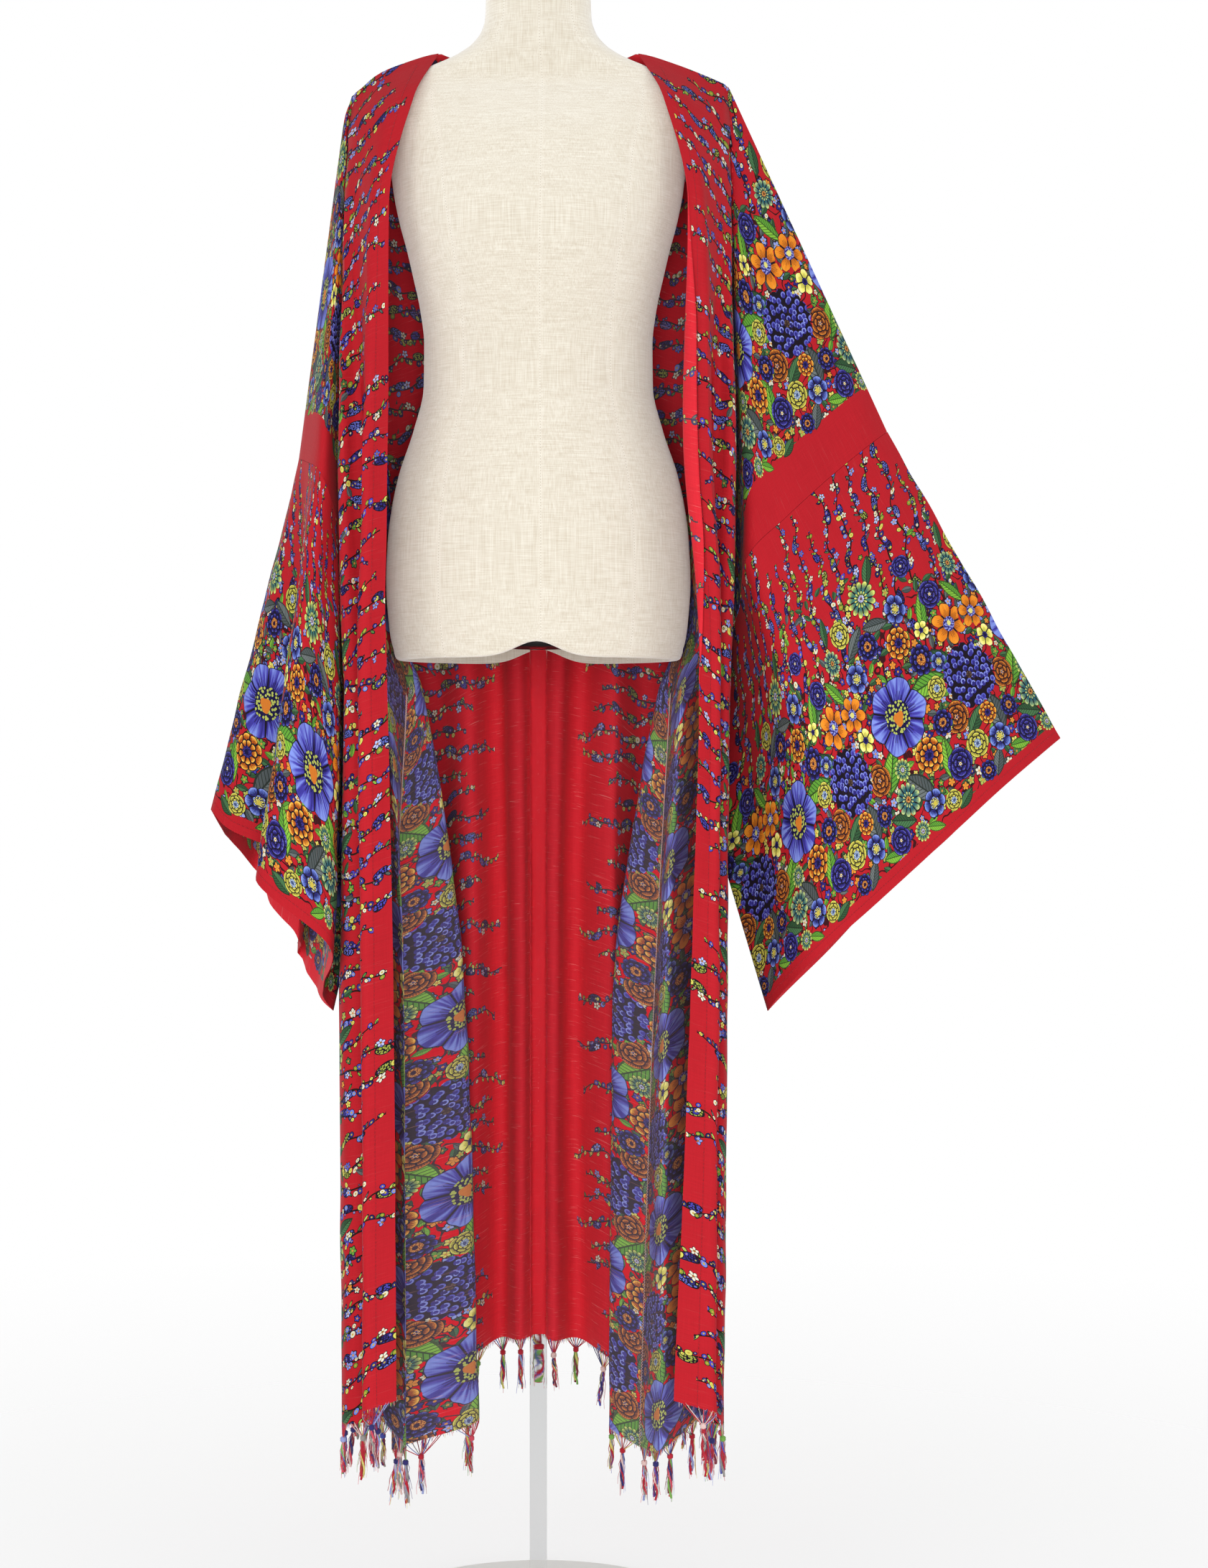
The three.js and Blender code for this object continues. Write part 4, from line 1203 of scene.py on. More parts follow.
def mesh_object(name: str, points: Array, faces: Iterable[Sequence[int]], sharp: float = 60.0) -> Piece:
    """A smooth object from points in millimetres and faces.

    Args:
        name: The piece's name.
        points: The (N, 3) points.
        faces: Each face's point numbers.
        sharp: Edges that turn more than this many degrees stay sharp.

    Returns:
        The linked object.
    """
    mesh = bpy.data.meshes.new(name)
    mesh.from_pydata((np.asarray(points) * MM).tolist(), [], [list(map(int, face)) for face in faces])
    mesh.polygons.foreach_set("use_smooth", np.ones(len(mesh.polygons), bool))
    mesh.set_sharp_from_angle(angle=math.radians(sharp))
    mesh.update()
    made = bpy.data.objects.new(name, mesh)
    bpy.context.collection.objects.link(made)
    return made


def finish_piece(piece: Piece, slot: str, *nodes: str) -> Piece:
    """Fixes a piece to the row's body and hides the CAD nodes that it stands for.

    Args:
        piece: The piece.
        slot: Not used.
        nodes: The CAD nodes.

    Returns:
        The same piece.
    """
    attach(piece, ROOT)
    if nodes:
        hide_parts(*nodes)
    log.info("%s: %d faces", piece.name, len(piece.data.polygons))
    return piece


# ---- the relief of the cloth


@dataclass(frozen=True)
class Relief:
    """Soft creases and an uneven surface, in millimetres outwards."""

    seed: int
    creases: tuple[Crease, ...]
    roughness: float = 0.7
    waves: int = 16

    def height(self, across: Array, along: Array) -> Array:
        """The relief at places of the flat cloth.

        Args:
            across: Places across.
            along: The N places down the front or, negative, down the back.

        Returns:
            The N heights.
        """
        total = np.zeros(len(across))
        for crease in self.creases:
            start = np.array([crease.from_across, crease.from_along])
            way = np.array([crease.to_across, crease.to_along]) - start
            offset = np.column_stack([across, along]) - start
            t = np.clip(offset @ way / (way @ way), 0, 1)
            away = np.linalg.norm(offset - t[:, None] * way, axis=1)
            profile = crease.height * np.exp(-((away / crease.width) ** 2))
            total += profile * np.sin(np.pi * (0.08 + 0.84 * t))
        rng = np.random.default_rng(self.seed)
        for _ in range(self.waves):
            turn = rng.normal(0.0, 0.5)
            length = rng.uniform(38, 130)
            way = across * math.cos(turn) + along * math.sin(turn)
            phase = way * math.tau / length + rng.uniform(0, math.tau)
            total += self.roughness * length / 400 * np.sin(phase)
        return total


FRONT_RELIEF = {
    "right": Relief(11, rows_of(
        Crease, (148, 40, 153, 900, 7, -3.1), (122, 260, 117, 980, 8, 3.0), (204, 30, 209, 700, 8, -3.4),
        (188, 60, 190, 800, 8, 3.4), (232, 60, 256, 620, 10, 3.8), (155, 840, 150, 1400, 9, -2.9),
        (128, 150, 118, 700, 11, -2.1), (160, 90, 235, 420, 16, 2.0), (205, 60, 330, 330, 18, -2.2),
        (300, 260, 470, 500, 20, 2.2), (150, 760, 142, 1390, 12, -1.8), (260, 620, 285, 1380, 22, 2.0),
        (345, 560, 360, 1380, 18, -2.0), (440, 620, 430, 1390, 20, 2.0),
    )),
    "left": Relief(12, rows_of(
        Crease, (150, 50, 156, 820, 7, -3.4), (128, 120, 136, 620, 7, 2.7), (205, 40, 206, 640, 8, -3.1),
        (187, 80, 192, 900, 8, 3.8), (236, 60, 258, 640, 10, 3.8), (152, 760, 158, 1400, 9, -3.1),
        (126, 480, 120, 980, 10, 3.4), (158, 80, 240, 440, 17, 2.2), (210, 70, 345, 300, 18, -2.0),
        (310, 240, 480, 480, 20, 2.0), (136, 980, 140, 1390, 11, -2.1), (250, 600, 270, 1390, 20, 2.2),
        (340, 640, 350, 1380, 20, -2.2), (450, 640, 440, 1380, 20, 1.8),
    )),
}
BACK_RELIEF = {
    "right": Relief(21, rows_of(
        Crease, (20, -260, 14, -1390, 12, 4.1), (64, -420, 58, -1400, 14, -4.6),
        (110, -300, 104, -1390, 16, 3.7), (160, -200, 170, -1390, 18, -1.8), (230, -90, 300, -700, 18, 2.0),
        (320, -240, 360, -1380, 20, -1.8), (440, -520, 450, -1380, 20, 2.0),
    )),
    "left": Relief(22, rows_of(
        Crease, (26, -340, 32, -1390, 13, -4.1), (70, -300, 76, -1400, 15, 4.1),
        (118, -420, 112, -1390, 14, -3.7), (165, -180, 158, -1390, 18, 1.8),
        (235, -100, 310, -680, 18, -2.0), (330, -260, 350, -1390, 20, 2.0),
        (450, -520, 440, -1380, 20, -1.8),
    )),
}
SLEEVE_RELIEF = {
    "right": Relief(31, rows_of(
        Crease, (600, 60, 955, 40, 13, -1.6), (600, 160, 950, 150, 18, 2.6), (600, 240, 955, 260, 16, -2.4),
        (610, 330, 940, 350, 18, 2.2), (640, 430, 950, 430, 18, -2.0), (600, -120, 950, -130, 16, -2.0),
        (600, -62, 960, -60, 14, 4.5), (600, -112, 960, -112, 16, -6.5), (600, -165, 960, -165, 15, 7.5),
        (600, -215, 960, -218, 14, -9.5), (600, -258, 960, -262, 12, 9.0),
        (600, -300, 960, -304, 12, -10.5), (600, -342, 960, -346, 12, 10.0),
        (600, -384, 960, -386, 12, -8.5), (600, -425, 960, -425, 11, 6.0), (604, 262, 955, 276, 13, -3.0),
        (604, 302, 955, 312, 13, 3.5), (604, 384, 955, 390, 13, 4.0),
    )),
    "left": Relief(32, rows_of(
        Crease, (598, 40, 900, 20, 13, -1.4), (600, 110, 955, 150, 16, 2.0), (600, 190, 950, 240, 16, -2.0),
        (600, 300, 950, 330, 20, 2.2), (620, 400, 930, 410, 18, -2.0), (600, -100, 950, -130, 16, 2.0),
        (600, -220, 950, -250, 20, -2.2), (610, -350, 950, -350, 18, 2.0),
    )),
}


def relief_at(half: HalfRobe, panel: Panel, across: Array, down: Array) -> Array:
    """The cloth's relief, which fades out along seams and where the cloth rests on the form.

    Args:
        half: The robe's half.
        panel: The front or the back.
        across: Places across.
        down: Places down.

    Returns:
        The N heights, in millimetres outwards.
    """
    fades = Fades()
    along = down if panel is Panel.FRONT else -down
    sleeve = SLEEVE_RELIEF[half.name].height(across, along)
    body = (FRONT_RELIEF if panel is Panel.FRONT else BACK_RELIEF)[half.name].height(across, along)
    if panel is Panel.BACK:
        other = BACK_RELIEF[half.other.name].height(-across, along)
        body += (other - body) * 0.5 * eased(1 - across / fades.centre)
    in_sleeve = across > CUT.armhole
    seam = eased(np.abs(across - CUT.armhole) / fades.seam)
    under = np.where(in_sleeve, eased((CUT.armhole_depth - down) / fades.underarm), 1)
    top = np.where(in_sleeve, 1, eased((down - fades.resting) / fades.shoulder))
    return np.where(in_sleeve, sleeve, body) * seam * under * top


def on_cloth(half: HalfRobe, panel: Panel, across: Array, down: Array, lift: float | Array) -> Array:
    """Points of the finished cloth, in millimetres.

    Args:
        half: The robe's half.
        panel: Its front or back.
        across: Places across the flat cloth, from the centre line.
        down: Places down from the shoulder line, or down from the sleeve's top fold.
        lift: How far outwards from the surface that the cloth is laid on.

    Returns:
        The (N, 3) points.
    """
    across, down = np.broadcast_arrays(np.asarray(across, float), np.asarray(down, float))
    points = half.cloth_point(panel, across, down)
    outward = half.outward(panel, across, down)
    fold = (across > CUT.armhole) & ((down <= 0) | (down >= CUT.armhole_depth))
    if fold.any():
        mixed = unit(outward + half.outward(panel.beside, across, down))
        outward = np.where(fold[:, None], mixed, outward)
    rise = relief_at(half, panel, across, down) + lift
    points = points + outward * rise[:, None]
    if half is RIGHT:
        tip = SoftTip()
        near = np.exp(-(((across - CUT.tip) / tip.width) ** 2) - (down / tip.depth) ** 2)
        points -= np.outer(near, (half.side * tip.inwards, 0.0, tip.down))
    ease = np.where(across > CUT.armhole, UNDERARM_EASE * (down / CUT.armhole_depth) ** 6, 0)
    points[:, 0] += half.side * ease
    return points


def back_places(signed: Array) -> Places:
    """Places on the back at signed distances across, negative on the right half."""
    return [(RIGHT if a < 0 else LEFT, Panel.BACK, abs(float(a))) for a in signed]


def front_places(half: HalfRobe, across: Array) -> Places:
    """Places on one front at distances across."""
    return [(half, Panel.FRONT, float(a)) for a in across]


@dataclass(frozen=True)
class PrintLine:
    """How far up the border's print a place across the body lies, at the shoulder and below the underarm."""

    across: float
    upper: float
    lower: float


FRONT_PRINT = rows_of(
    PrintLine, (100, 410, 400), (138, 373, 366), (176, 336, 332), (215, 300, 294), (239, 280, 274),
    (300, 226, 236), (400, 140, 186), (500, 45, 132), (590, -45, 70),
)
BACK_PRINT = rows_of(
    PrintLine, (0, 545, 545), (60, 470, 470), (100, 405, 415), (140, 345, 370), (200, 268, 318),
    (300, 190, 252), (400, 120, 196), (500, 45, 135), (590, -45, 70),
)
PRINT_STEP = 83.0


def print_place(half: HalfRobe, panel: Panel, across: Array, down: Array) -> Array:
    """Where a place of the cloth lies on the printed border: along it, and up from its plain margin.

    Args:
        half: The robe's half.
        panel: The front or the back.
        across: Places across.
        down: Places down.

    Returns:
        The (N, 2) places on the border.
    """
    lines = FRONT_PRINT if panel is Panel.FRONT else BACK_PRINT
    rows = [(line.upper, line.lower) for line in lines]
    body = smooth_rows([line.across for line in lines], rows, across, rounded=True)
    if panel is Panel.FRONT:
        body = body + np.maximum(CUT.front_edge - across, 0)[:, None]
    share = eased((down - 200) / 340)
    from_cuff = CUT.cuff - across
    sleeve = from_cuff - 10 + 34 * eased((from_cuff - 240) / 135)
    up = np.where(across > CUT.armhole, sleeve, body[:, 0] + (body[:, 1] - body[:, 0]) * share)
    along = down if panel is Panel.FRONT else -down
    return np.column_stack([along + PRINT_STEP * (half is LEFT), up])


# ---- the robe's finishes


BORDER_TOP, SPRIG_TOP = 305, 442


class Zone(Enum):
    """How much of the print a stretch of cloth can carry."""

    BORDER = 0
    SPRIGS = 1
    PLAIN = 2

    @staticmethod
    def at(up: Array) -> Array:
        """The zone number at heights above the border's margin."""
        return np.searchsorted((BORDER_TOP, SPRIG_TOP), up)


@dataclass(frozen=True)
class ClothLook:
    """The cloth's colours, and how much of them shows, with painted light in the wrong side's brighter
    ground.
    """

    ground: str = "B21A25"
    # Painted light: the wrong side's ground is brighter than the right side's. It stands in for light that
    # shines through the thin cloth onto its shaded inside.
    wrong_ground_painted_backlight: str = "D42834"
    slub: str = "EBA8A2"
    bleached: str = "9C8F9C"
    bleaching: float = 0.16
    slubs: float = 0.05
    wrong_slubs: float = 0.34
    roughness: float = 0.78


class ClothFinish:
    """The materials of the robe: three zones of print, each on the right and the wrong side."""

    def __init__(self) -> None:
        """Builds the print and the weave once and the six materials that use them."""
        self.look = ClothLook()
        self.prints = BorderPrint()
        self.weave = self._weave()
        self.materials = [self._material(zone, wrong) for wrong in (False, True) for zone in Zone]

    @staticmethod
    def _weave() -> NodeTree:
        """A plain slub weave, whose thick threads run across the cloth.

        Returns:
            The group.
        """
        outputs = {"Light": "Float", "Slub": "Float", "Height": "Float"}
        maker = GroupMaker("Slub weave", {"Place": "Vector"}, outputs)
        g = maker.graph
        along, up, _ = g.parts(maker.inputs["Place"])
        weft = g.noise(g.combine(along * 0.9, up * 0.035, 3.0), 1.0, 2.0, 0.6)
        warp = g.noise(g.combine(along * 0.03, up * 0.9, 9.0), 1.0, 2.0, 0.6)
        broad = g.noise(g.combine(along * 0.02, up * 0.02, 5.0), 1.0, 2.0)
        slub = g.noise(g.combine(along * 0.62, up * 0.022, 14.0), 1.0, 2.0, 0.6)
        slub = ((slub - 0.60) * 7.0).clamp() * weft.above(0.47)
        light = (weft - 0.5) * 0.26 + (warp - 0.5) * 0.18 + (broad - 0.5) * 0.12 + 1.0
        return maker.close(Light=light, Slub=slub, Height=weft * 0.6 + warp * 0.4 + slub * 0.5)

    def _material(self, zone: Zone, wrong: bool) -> Material:
        """One zone of the cloth on one side.

        Args:
            zone: How much print it can carry.
            wrong: Whether it is the wrong side.

        Returns:
            The material.
        """
        made, g, shader = new_material(f"Cloth {zone.name.lower()} {'wrong' if wrong else 'right'} side")
        place = g.scale(g.out("ShaderNodeUVMap", 0, uv_map="cut"), 1 / MM)
        weave = g.group(self.weave, Place=place)
        # The wrong side takes the brighter ground, which is painted light shining through the cloth.
        paint: Feed = linear(self.look.wrong_ground_painted_backlight if wrong else self.look.ground)
        printed: Feed = 0.0
        if zone is Zone.BORDER:
            border = g.group(self.prints.border, Place=place, Ground=paint)
            paint, printed = border["Color"], border["Printed"]
        elif zone is Zone.SPRIGS:
            sprigs = g.group(self.prints.sprigs, Place=place)
            paint, printed = g.tint(sprigs["Inside"], paint, sprigs["Color"]), sprigs["Inside"]
        if wrong and zone is not Zone.PLAIN:
            paint = g.tint(printed * self.look.bleaching, paint, linear(self.look.bleached))
        slub = weave["Slub"] * (self.look.wrong_slubs if wrong else self.look.slubs)
        paint = g.tint(slub, paint, linear(self.look.slub))
        g.fill(shader, {"Base Color": g.shade(paint, weave["Light"]), "Roughness": self.look.roughness})
        g.fill(shader, {"Sheen Weight": 0.04, "Sheen Roughness": 0.5, "Specular IOR Level": 0.12})
        g.fill(shader, {"Normal": g.bump(weave["Height"], 0.35, 0.0006)})
        return made


class YarnFinish:
    """Yarn in the colours that its strands carry."""

    def __init__(self, name: str, roughness: float = 0.85) -> None:
        """Builds the material.

        Args:
            name: The material's name.
            roughness: Its roughness.
        """
        self.material, g, shader = new_material(name)
        tint = g.out("ShaderNodeAttribute", "Color", attribute_name="yarn")
        fuzz = fine_grain(g, 900.0, 2.0)
        inputs = {"Roughness": roughness, "Sheen Weight": 0.2, "Specular IOR Level": 0.2}
        g.fill(shader, {"Base Color": g.shade(tint, fuzz * 0.5 + 0.75), **inputs})


# ---- the robe's cloth


class Side(IntEnum):
    """Where a face of a shell lies."""

    OUTER = 0
    INNER = 1
    RIM = 2


@dataclass
class Shell:
    """A thin closed shell over a grid of cloth places, with its right side outwards."""

    name: str
    outer: Array
    inner: Array
    cut: Array
    closed: bool = False
    wrong_out: bool = False

    def build(self, materials: Sequence[Material]) -> Piece:
        """Makes the object with its UV maps and a material for each face's zone and side.

        Args:
            materials: The cloth's materials, by zone and then by side.

        Returns:
            The piece.
        """
        rows, columns = self.outer.shape[:2]
        spans = columns if self.closed else columns - 1
        i, j = (v.ravel() for v in np.meshgrid(np.arange(rows - 1), np.arange(spans), indexing="ij"))
        face = np.stack([[i, j], [i, j + 1], [i + 1, j + 1], [i + 1, j]]).transpose(2, 0, 1)
        count = rows * columns
        number = face[..., 0] * columns + face[..., 1] % columns
        quads, places = [number, number[:, ::-1] + count], [face, face[:, ::-1]]
        sides = [Side.OUTER, Side.INNER]
        for corners in self._rims(rows, columns, spans):
            ids = corners[..., 0] * columns + corners[..., 1] % columns
            ids[:, 2:] += count
            quads.append(ids)
            places.append(corners)
            sides.append(Side.RIM)
        side = np.concatenate([np.full(len(q), s) for q, s in zip(quads, sides)])
        quads, places = np.concatenate(quads), np.concatenate(places)
        if self._inside_out():
            quads, places = quads[:, ::-1], places[:, ::-1]
        points = np.concatenate([self.outer.reshape(-1, 3), self.inner.reshape(-1, 3)])
        made = mesh_object(self.name, points, quads, 75.0)
        self._maps(made.data, places, side, rows, spans)
        up = self.cut[places[..., 0], places[..., 1], 1].mean(axis=1)
        for material in materials:
            made.data.materials.append(material)
        finish = Zone.at(up) + len(Zone) * ((side == Side.INNER) ^ self.wrong_out)
        made.data.polygons.foreach_set("material_index", finish.astype(np.int32))
        return made

    def _rims(self, rows: int, columns: int, spans: int) -> list[Array]:
        """The edges round the grid, as faces between the outer and the inner side.

        Args:
            rows: How many rows the grid has.
            columns: How many columns.
            spans: How many cells lie side by side.

        Returns:
            For each edge the (N, 4, 2) rows and columns of the faces' corners.
        """
        j, i = np.arange(spans), np.arange(rows - 1)
        last, end = j * 0 + rows - 1, i * 0 + columns - 1
        ends = [((j * 0, j + 1), (j * 0, j)), ((last, j), (last, j + 1))]
        if not self.closed:
            ends += [((i + 1, end), (i, end)), ((i, i * 0), (i + 1, i * 0))]
        return [np.stack([a, b, b, a]).transpose(2, 0, 1) for a, b in ends]

    def _inside_out(self) -> bool:
        """Whether the grid's cells turn the wrong way for the outer side to face outwards."""
        normal = np.cross(np.diff(self.outer[:-1], axis=1), np.diff(self.outer[:, 1:], axis=0))
        return float((normal * (self.outer - self.inner)[:-1, :-1]).sum()) < 0

    def _maps(self, mesh: bpy.types.Mesh, places: Array, side: Array, rows: int, spans: int) -> None:
        """Adds the map of the flat cut and the map for baking, whose left half is the right side.

        Args:
            mesh: The mesh.
            places: The (F, 4, 2) rows and columns of the corners.
            side: Each face's side.
            rows: How many rows the grid has.
            spans: How many cells lie side by side.
        """
        flat = self.cut[places[..., 0], places[..., 1]] * MM
        u, v = places[..., 1] / spans, places[..., 0] / (rows - 1)
        kind = side[:, None]
        rim = np.array([[0.494, 0.494, 0.506, 0.506]])
        level = v.min(axis=1, keepdims=True) == v.max(axis=1, keepdims=True)
        inner = np.where(kind == Side.INNER, 0.512 + 0.486 * u, rim)
        across = np.where(kind == Side.OUTER, 0.002 + 0.486 * u, inner)
        up = np.where(kind == Side.RIM, np.where(level, u, v), 0.002 + 0.996 * v)
        for name, spread in (("cut", flat), ("OFBake", np.stack([across, up], -1))):
            mesh.uv_layers.new(name=name).data.foreach_set("uv", spread.astype(np.float32).ravel())


@dataclass
class RobeCloth:
    """The robe's five pieces of cloth."""

    finish: ClothFinish
    cell: float = 8.0
    faces: Sequence[float] = (0.9, 0.2)
    turned_faces: Sequence[float] = (1.9, 1.3)
    gap: float = 0.15
    pieces: dict[str, Piece] = field(default_factory=dict)
    edge: Piece | None = None

    @property
    def reach(self) -> float:
        """Where the body cloth ends, a little short of the armhole's line."""
        return CUT.armhole - self.gap

    def _grid(self, places: Places, rows: Array, lift: float) -> Array:
        """Points for columns of cloth, each with its half, panel and place across, at places down.

        Args:
            places: The columns.
            rows: The places down.
            lift: How far outwards.

        Returns:
            The (rows, columns, 3) points.
        """
        grid = np.zeros((len(rows), len(places), 3))
        for half in HALVES:
            for panel in Panel:
                picked = [k for k, (h, p, _) in enumerate(places) if h is half and p is panel]
                if picked:
                    across, down = np.meshgrid([places[k][2] for k in picked], rows)
                    points = on_cloth(half, panel, across.ravel(), down.ravel(), lift)
                    grid[:, picked] = points.reshape(len(rows), len(picked), 3)
        self._close_side_seam(grid, places, rows, lift)
        return grid

    def _close_side_seam(self, grid: Array, places: Places, rows: Array, lift: float) -> None:
        """Brings a panel's side edge to the middle between front and back, below the underarm.

        Args:
            grid: The (rows, columns, 3) points, changed in place.
            places: The half, panel and place across of each column.
            rows: The places down.
            lift: How far outwards the points are.
        """
        low = rows > CUT.armhole_depth
        for k, (half, panel, across) in enumerate(places):
            if across > CUT.armhole - 1:
                other = on_cloth(half, panel.beside, across, rows[low], lift)
                grid[low, k] = (grid[low, k] + other) / 2

    def _body(self, name: str, places: Places) -> Piece:
        """A body panel over columns of places.

        Args:
            name: The piece's name.
            places: The columns.

        Returns:
            The piece.
        """
        rows = np.linspace(self.gap, CUT.length, int(CUT.length / self.cell) + 1)
        outer, inner = (self._grid(places, rows, lift) for lift in self.faces)
        cut = np.stack([print_place(h, p, rows * 0 + a, rows) for h, p, a in places], axis=1)
        return Shell(name, outer, inner, cut).build(self.finish.materials)

    def back(self) -> Piece:
        """The back, in one piece from side to side."""
        signed = np.linspace(-self.reach, self.reach, 2 * int(self.reach / self.cell) + 1)
        return self._body("back_cloth", back_places(signed))

    def front(self, half: HalfRobe) -> Piece:
        """One front."""
        across = np.linspace(CUT.front_edge, self.reach, int((self.reach - CUT.front_edge) / self.cell) + 1)
        return self._body(f"front_cloth_{half.name}", front_places(half, across))

    def sleeve(self, half: HalfRobe) -> Piece:
        """One sleeve, a tube round from its underarm seam and back to it.

        Args:
            half: The robe's half.

        Returns:
            The piece.
        """
        count = int(CUT.armhole_depth / self.cell)
        depths = np.linspace(CUT.armhole_depth, 0, count + 1)
        across = np.linspace(CUT.armhole + self.gap, CUT.cuff, int((CUT.cuff - CUT.armhole) / self.cell) + 1)
        ring = [(Panel.FRONT, float(d)) for d in depths]
        ring += [(Panel.BACK, float(d)) for d in depths[::-1][1:-1]]
        outer, inner = (
            np.stack([on_cloth(half, panel, across, depth, lift) for panel, depth in ring], axis=1)
            for lift in self.faces
        )
        stops = [*ring, (Panel.BACK, CUT.armhole_depth)]
        cut = np.stack([print_place(half, p, across, across * 0 + depth) for p, depth in stops], axis=1)
        shell = Shell(f"sleeve_cloth_{half.name}", outer, inner, cut, closed=True)
        return shell.build(self.finish.materials)

    def turned_edge(self) -> Piece:
        """The stretch of the left front's edge that has turned back outwards and shows its wrong side.

        Returns:
            The piece.
        """
        top, foot, widest = 150, 700, 18
        down = np.linspace(top, foot, 70)
        width = widest * eased((down - top) / 170) * eased((foot - down) / 200) + 0.6
        a, d = np.meshgrid(np.linspace(0, 1, 7), down)
        across = CUT.front_edge + 0.4 + width[:, None] * a
        rise = (width / widest)[:, None] * (3.4 * np.sin(np.pi * (0.08 + 0.8 * a)) + 0.7)
        outer, inner = (
            on_cloth(LEFT, Panel.FRONT, across.ravel(), d.ravel(), rise.ravel() + lift).reshape(*a.shape, 3)
            for lift in self.turned_faces
        )
        mirrored = (2 * CUT.front_edge - across).ravel()
        cut = print_place(LEFT, Panel.FRONT, mirrored, d.ravel()).reshape(*a.shape, 2)
        return Shell("turned_edge", outer, inner, cut, wrong_out=True).build(self.finish.materials)

    def build(self) -> None:
        """Builds the five pieces, and the turned edge as a piece of its own."""
        self.pieces["back"] = finish_piece(self.back(), "cloth", "back_panel")
        for half in HALVES:
            front = finish_piece(self.front(half), "cloth", f"front_panel_{half.name}")
            sleeve = finish_piece(self.sleeve(half), "cloth", f"sleeve_{half.name}")
            self.pieces[f"front_{half.name}"] = front
            self.pieces[f"sleeve_{half.name}"] = sleeve
        self.edge = finish_piece(self.turned_edge(), "cloth")


# ---- threads and yarns


def strands(name: str, paths: Array, radii: Array, sides: int, tints: Array) -> Piece:
    """Closed tubes along paths, all in one object.

    Args:
        name: The piece's name.
        paths: The (P, N, 3) points of the paths, in millimetres.
        radii: The (P, N) radii.
        sides: How many sides each tube has.
        tints: The (P, 4) colours of the tubes.

    Returns:
        The object, whose points carry the colours as "yarn".
    """
    total, steps = paths.shape[:2]
    way = unit(np.gradient(paths, axis=1))
    guide = np.where(np.abs(way[..., 2:3]) > 0.8, (0.0, 1.0, 0.0), (0.0, 0.0, 1.0))
    first = unit(np.cross(way, guide))
    second = np.cross(way, first)
    angle = (np.arange(sides) * math.tau / sides)[:, None]
    ring = first[:, :, None] * np.cos(angle) + second[:, :, None] * np.sin(angle)
    points = paths[:, :, None] + ring * radii[:, :, None, None]
    base = (np.arange(total) * steps * sides)[:, None, None]
    step = (np.arange(steps - 1) * sides)[None, :, None]
    side = np.arange(sides)
    a, b = base + step + side, base + step + (side + 1) % sides
    walls = np.stack([a, b, b + sides, a + sides], -1).reshape(-1, 4).tolist()
    low = (base[:, 0] + np.arange(sides)[::-1]).tolist()
    high = (base[:, 0] + (steps - 1) * sides + np.arange(sides)).tolist()
    made = mesh_object(name, points.reshape(-1, 3), [*walls, *low, *high])
    layer = made.data.color_attributes.new("yarn", "FLOAT_COLOR", "POINT")
    layer.data.foreach_set("color", np.repeat(tints, steps * sides, axis=0).astype(np.float32).ravel())
    return made


def joined(name: str, parts: Sequence[Piece]) -> Piece:
    """Joins objects into the first and names it.

    Args:
        name: Its new name.
        parts: The objects.

    Returns:
        The joined object.
    """
    with bpy.context.temp_override(active_object=parts[0], selected_editable_objects=list(parts)):
        bpy.ops.object.join()
    parts[0].name = name
    parts[0].data.name = name
    return parts[0]


YARNS = "B22334 B22334 A81D2C C9485A 4A52A8 8E97C9 8F8A86 6FA04A C9C06A 2E2A66 D9B9B4 7C2A3A".split()


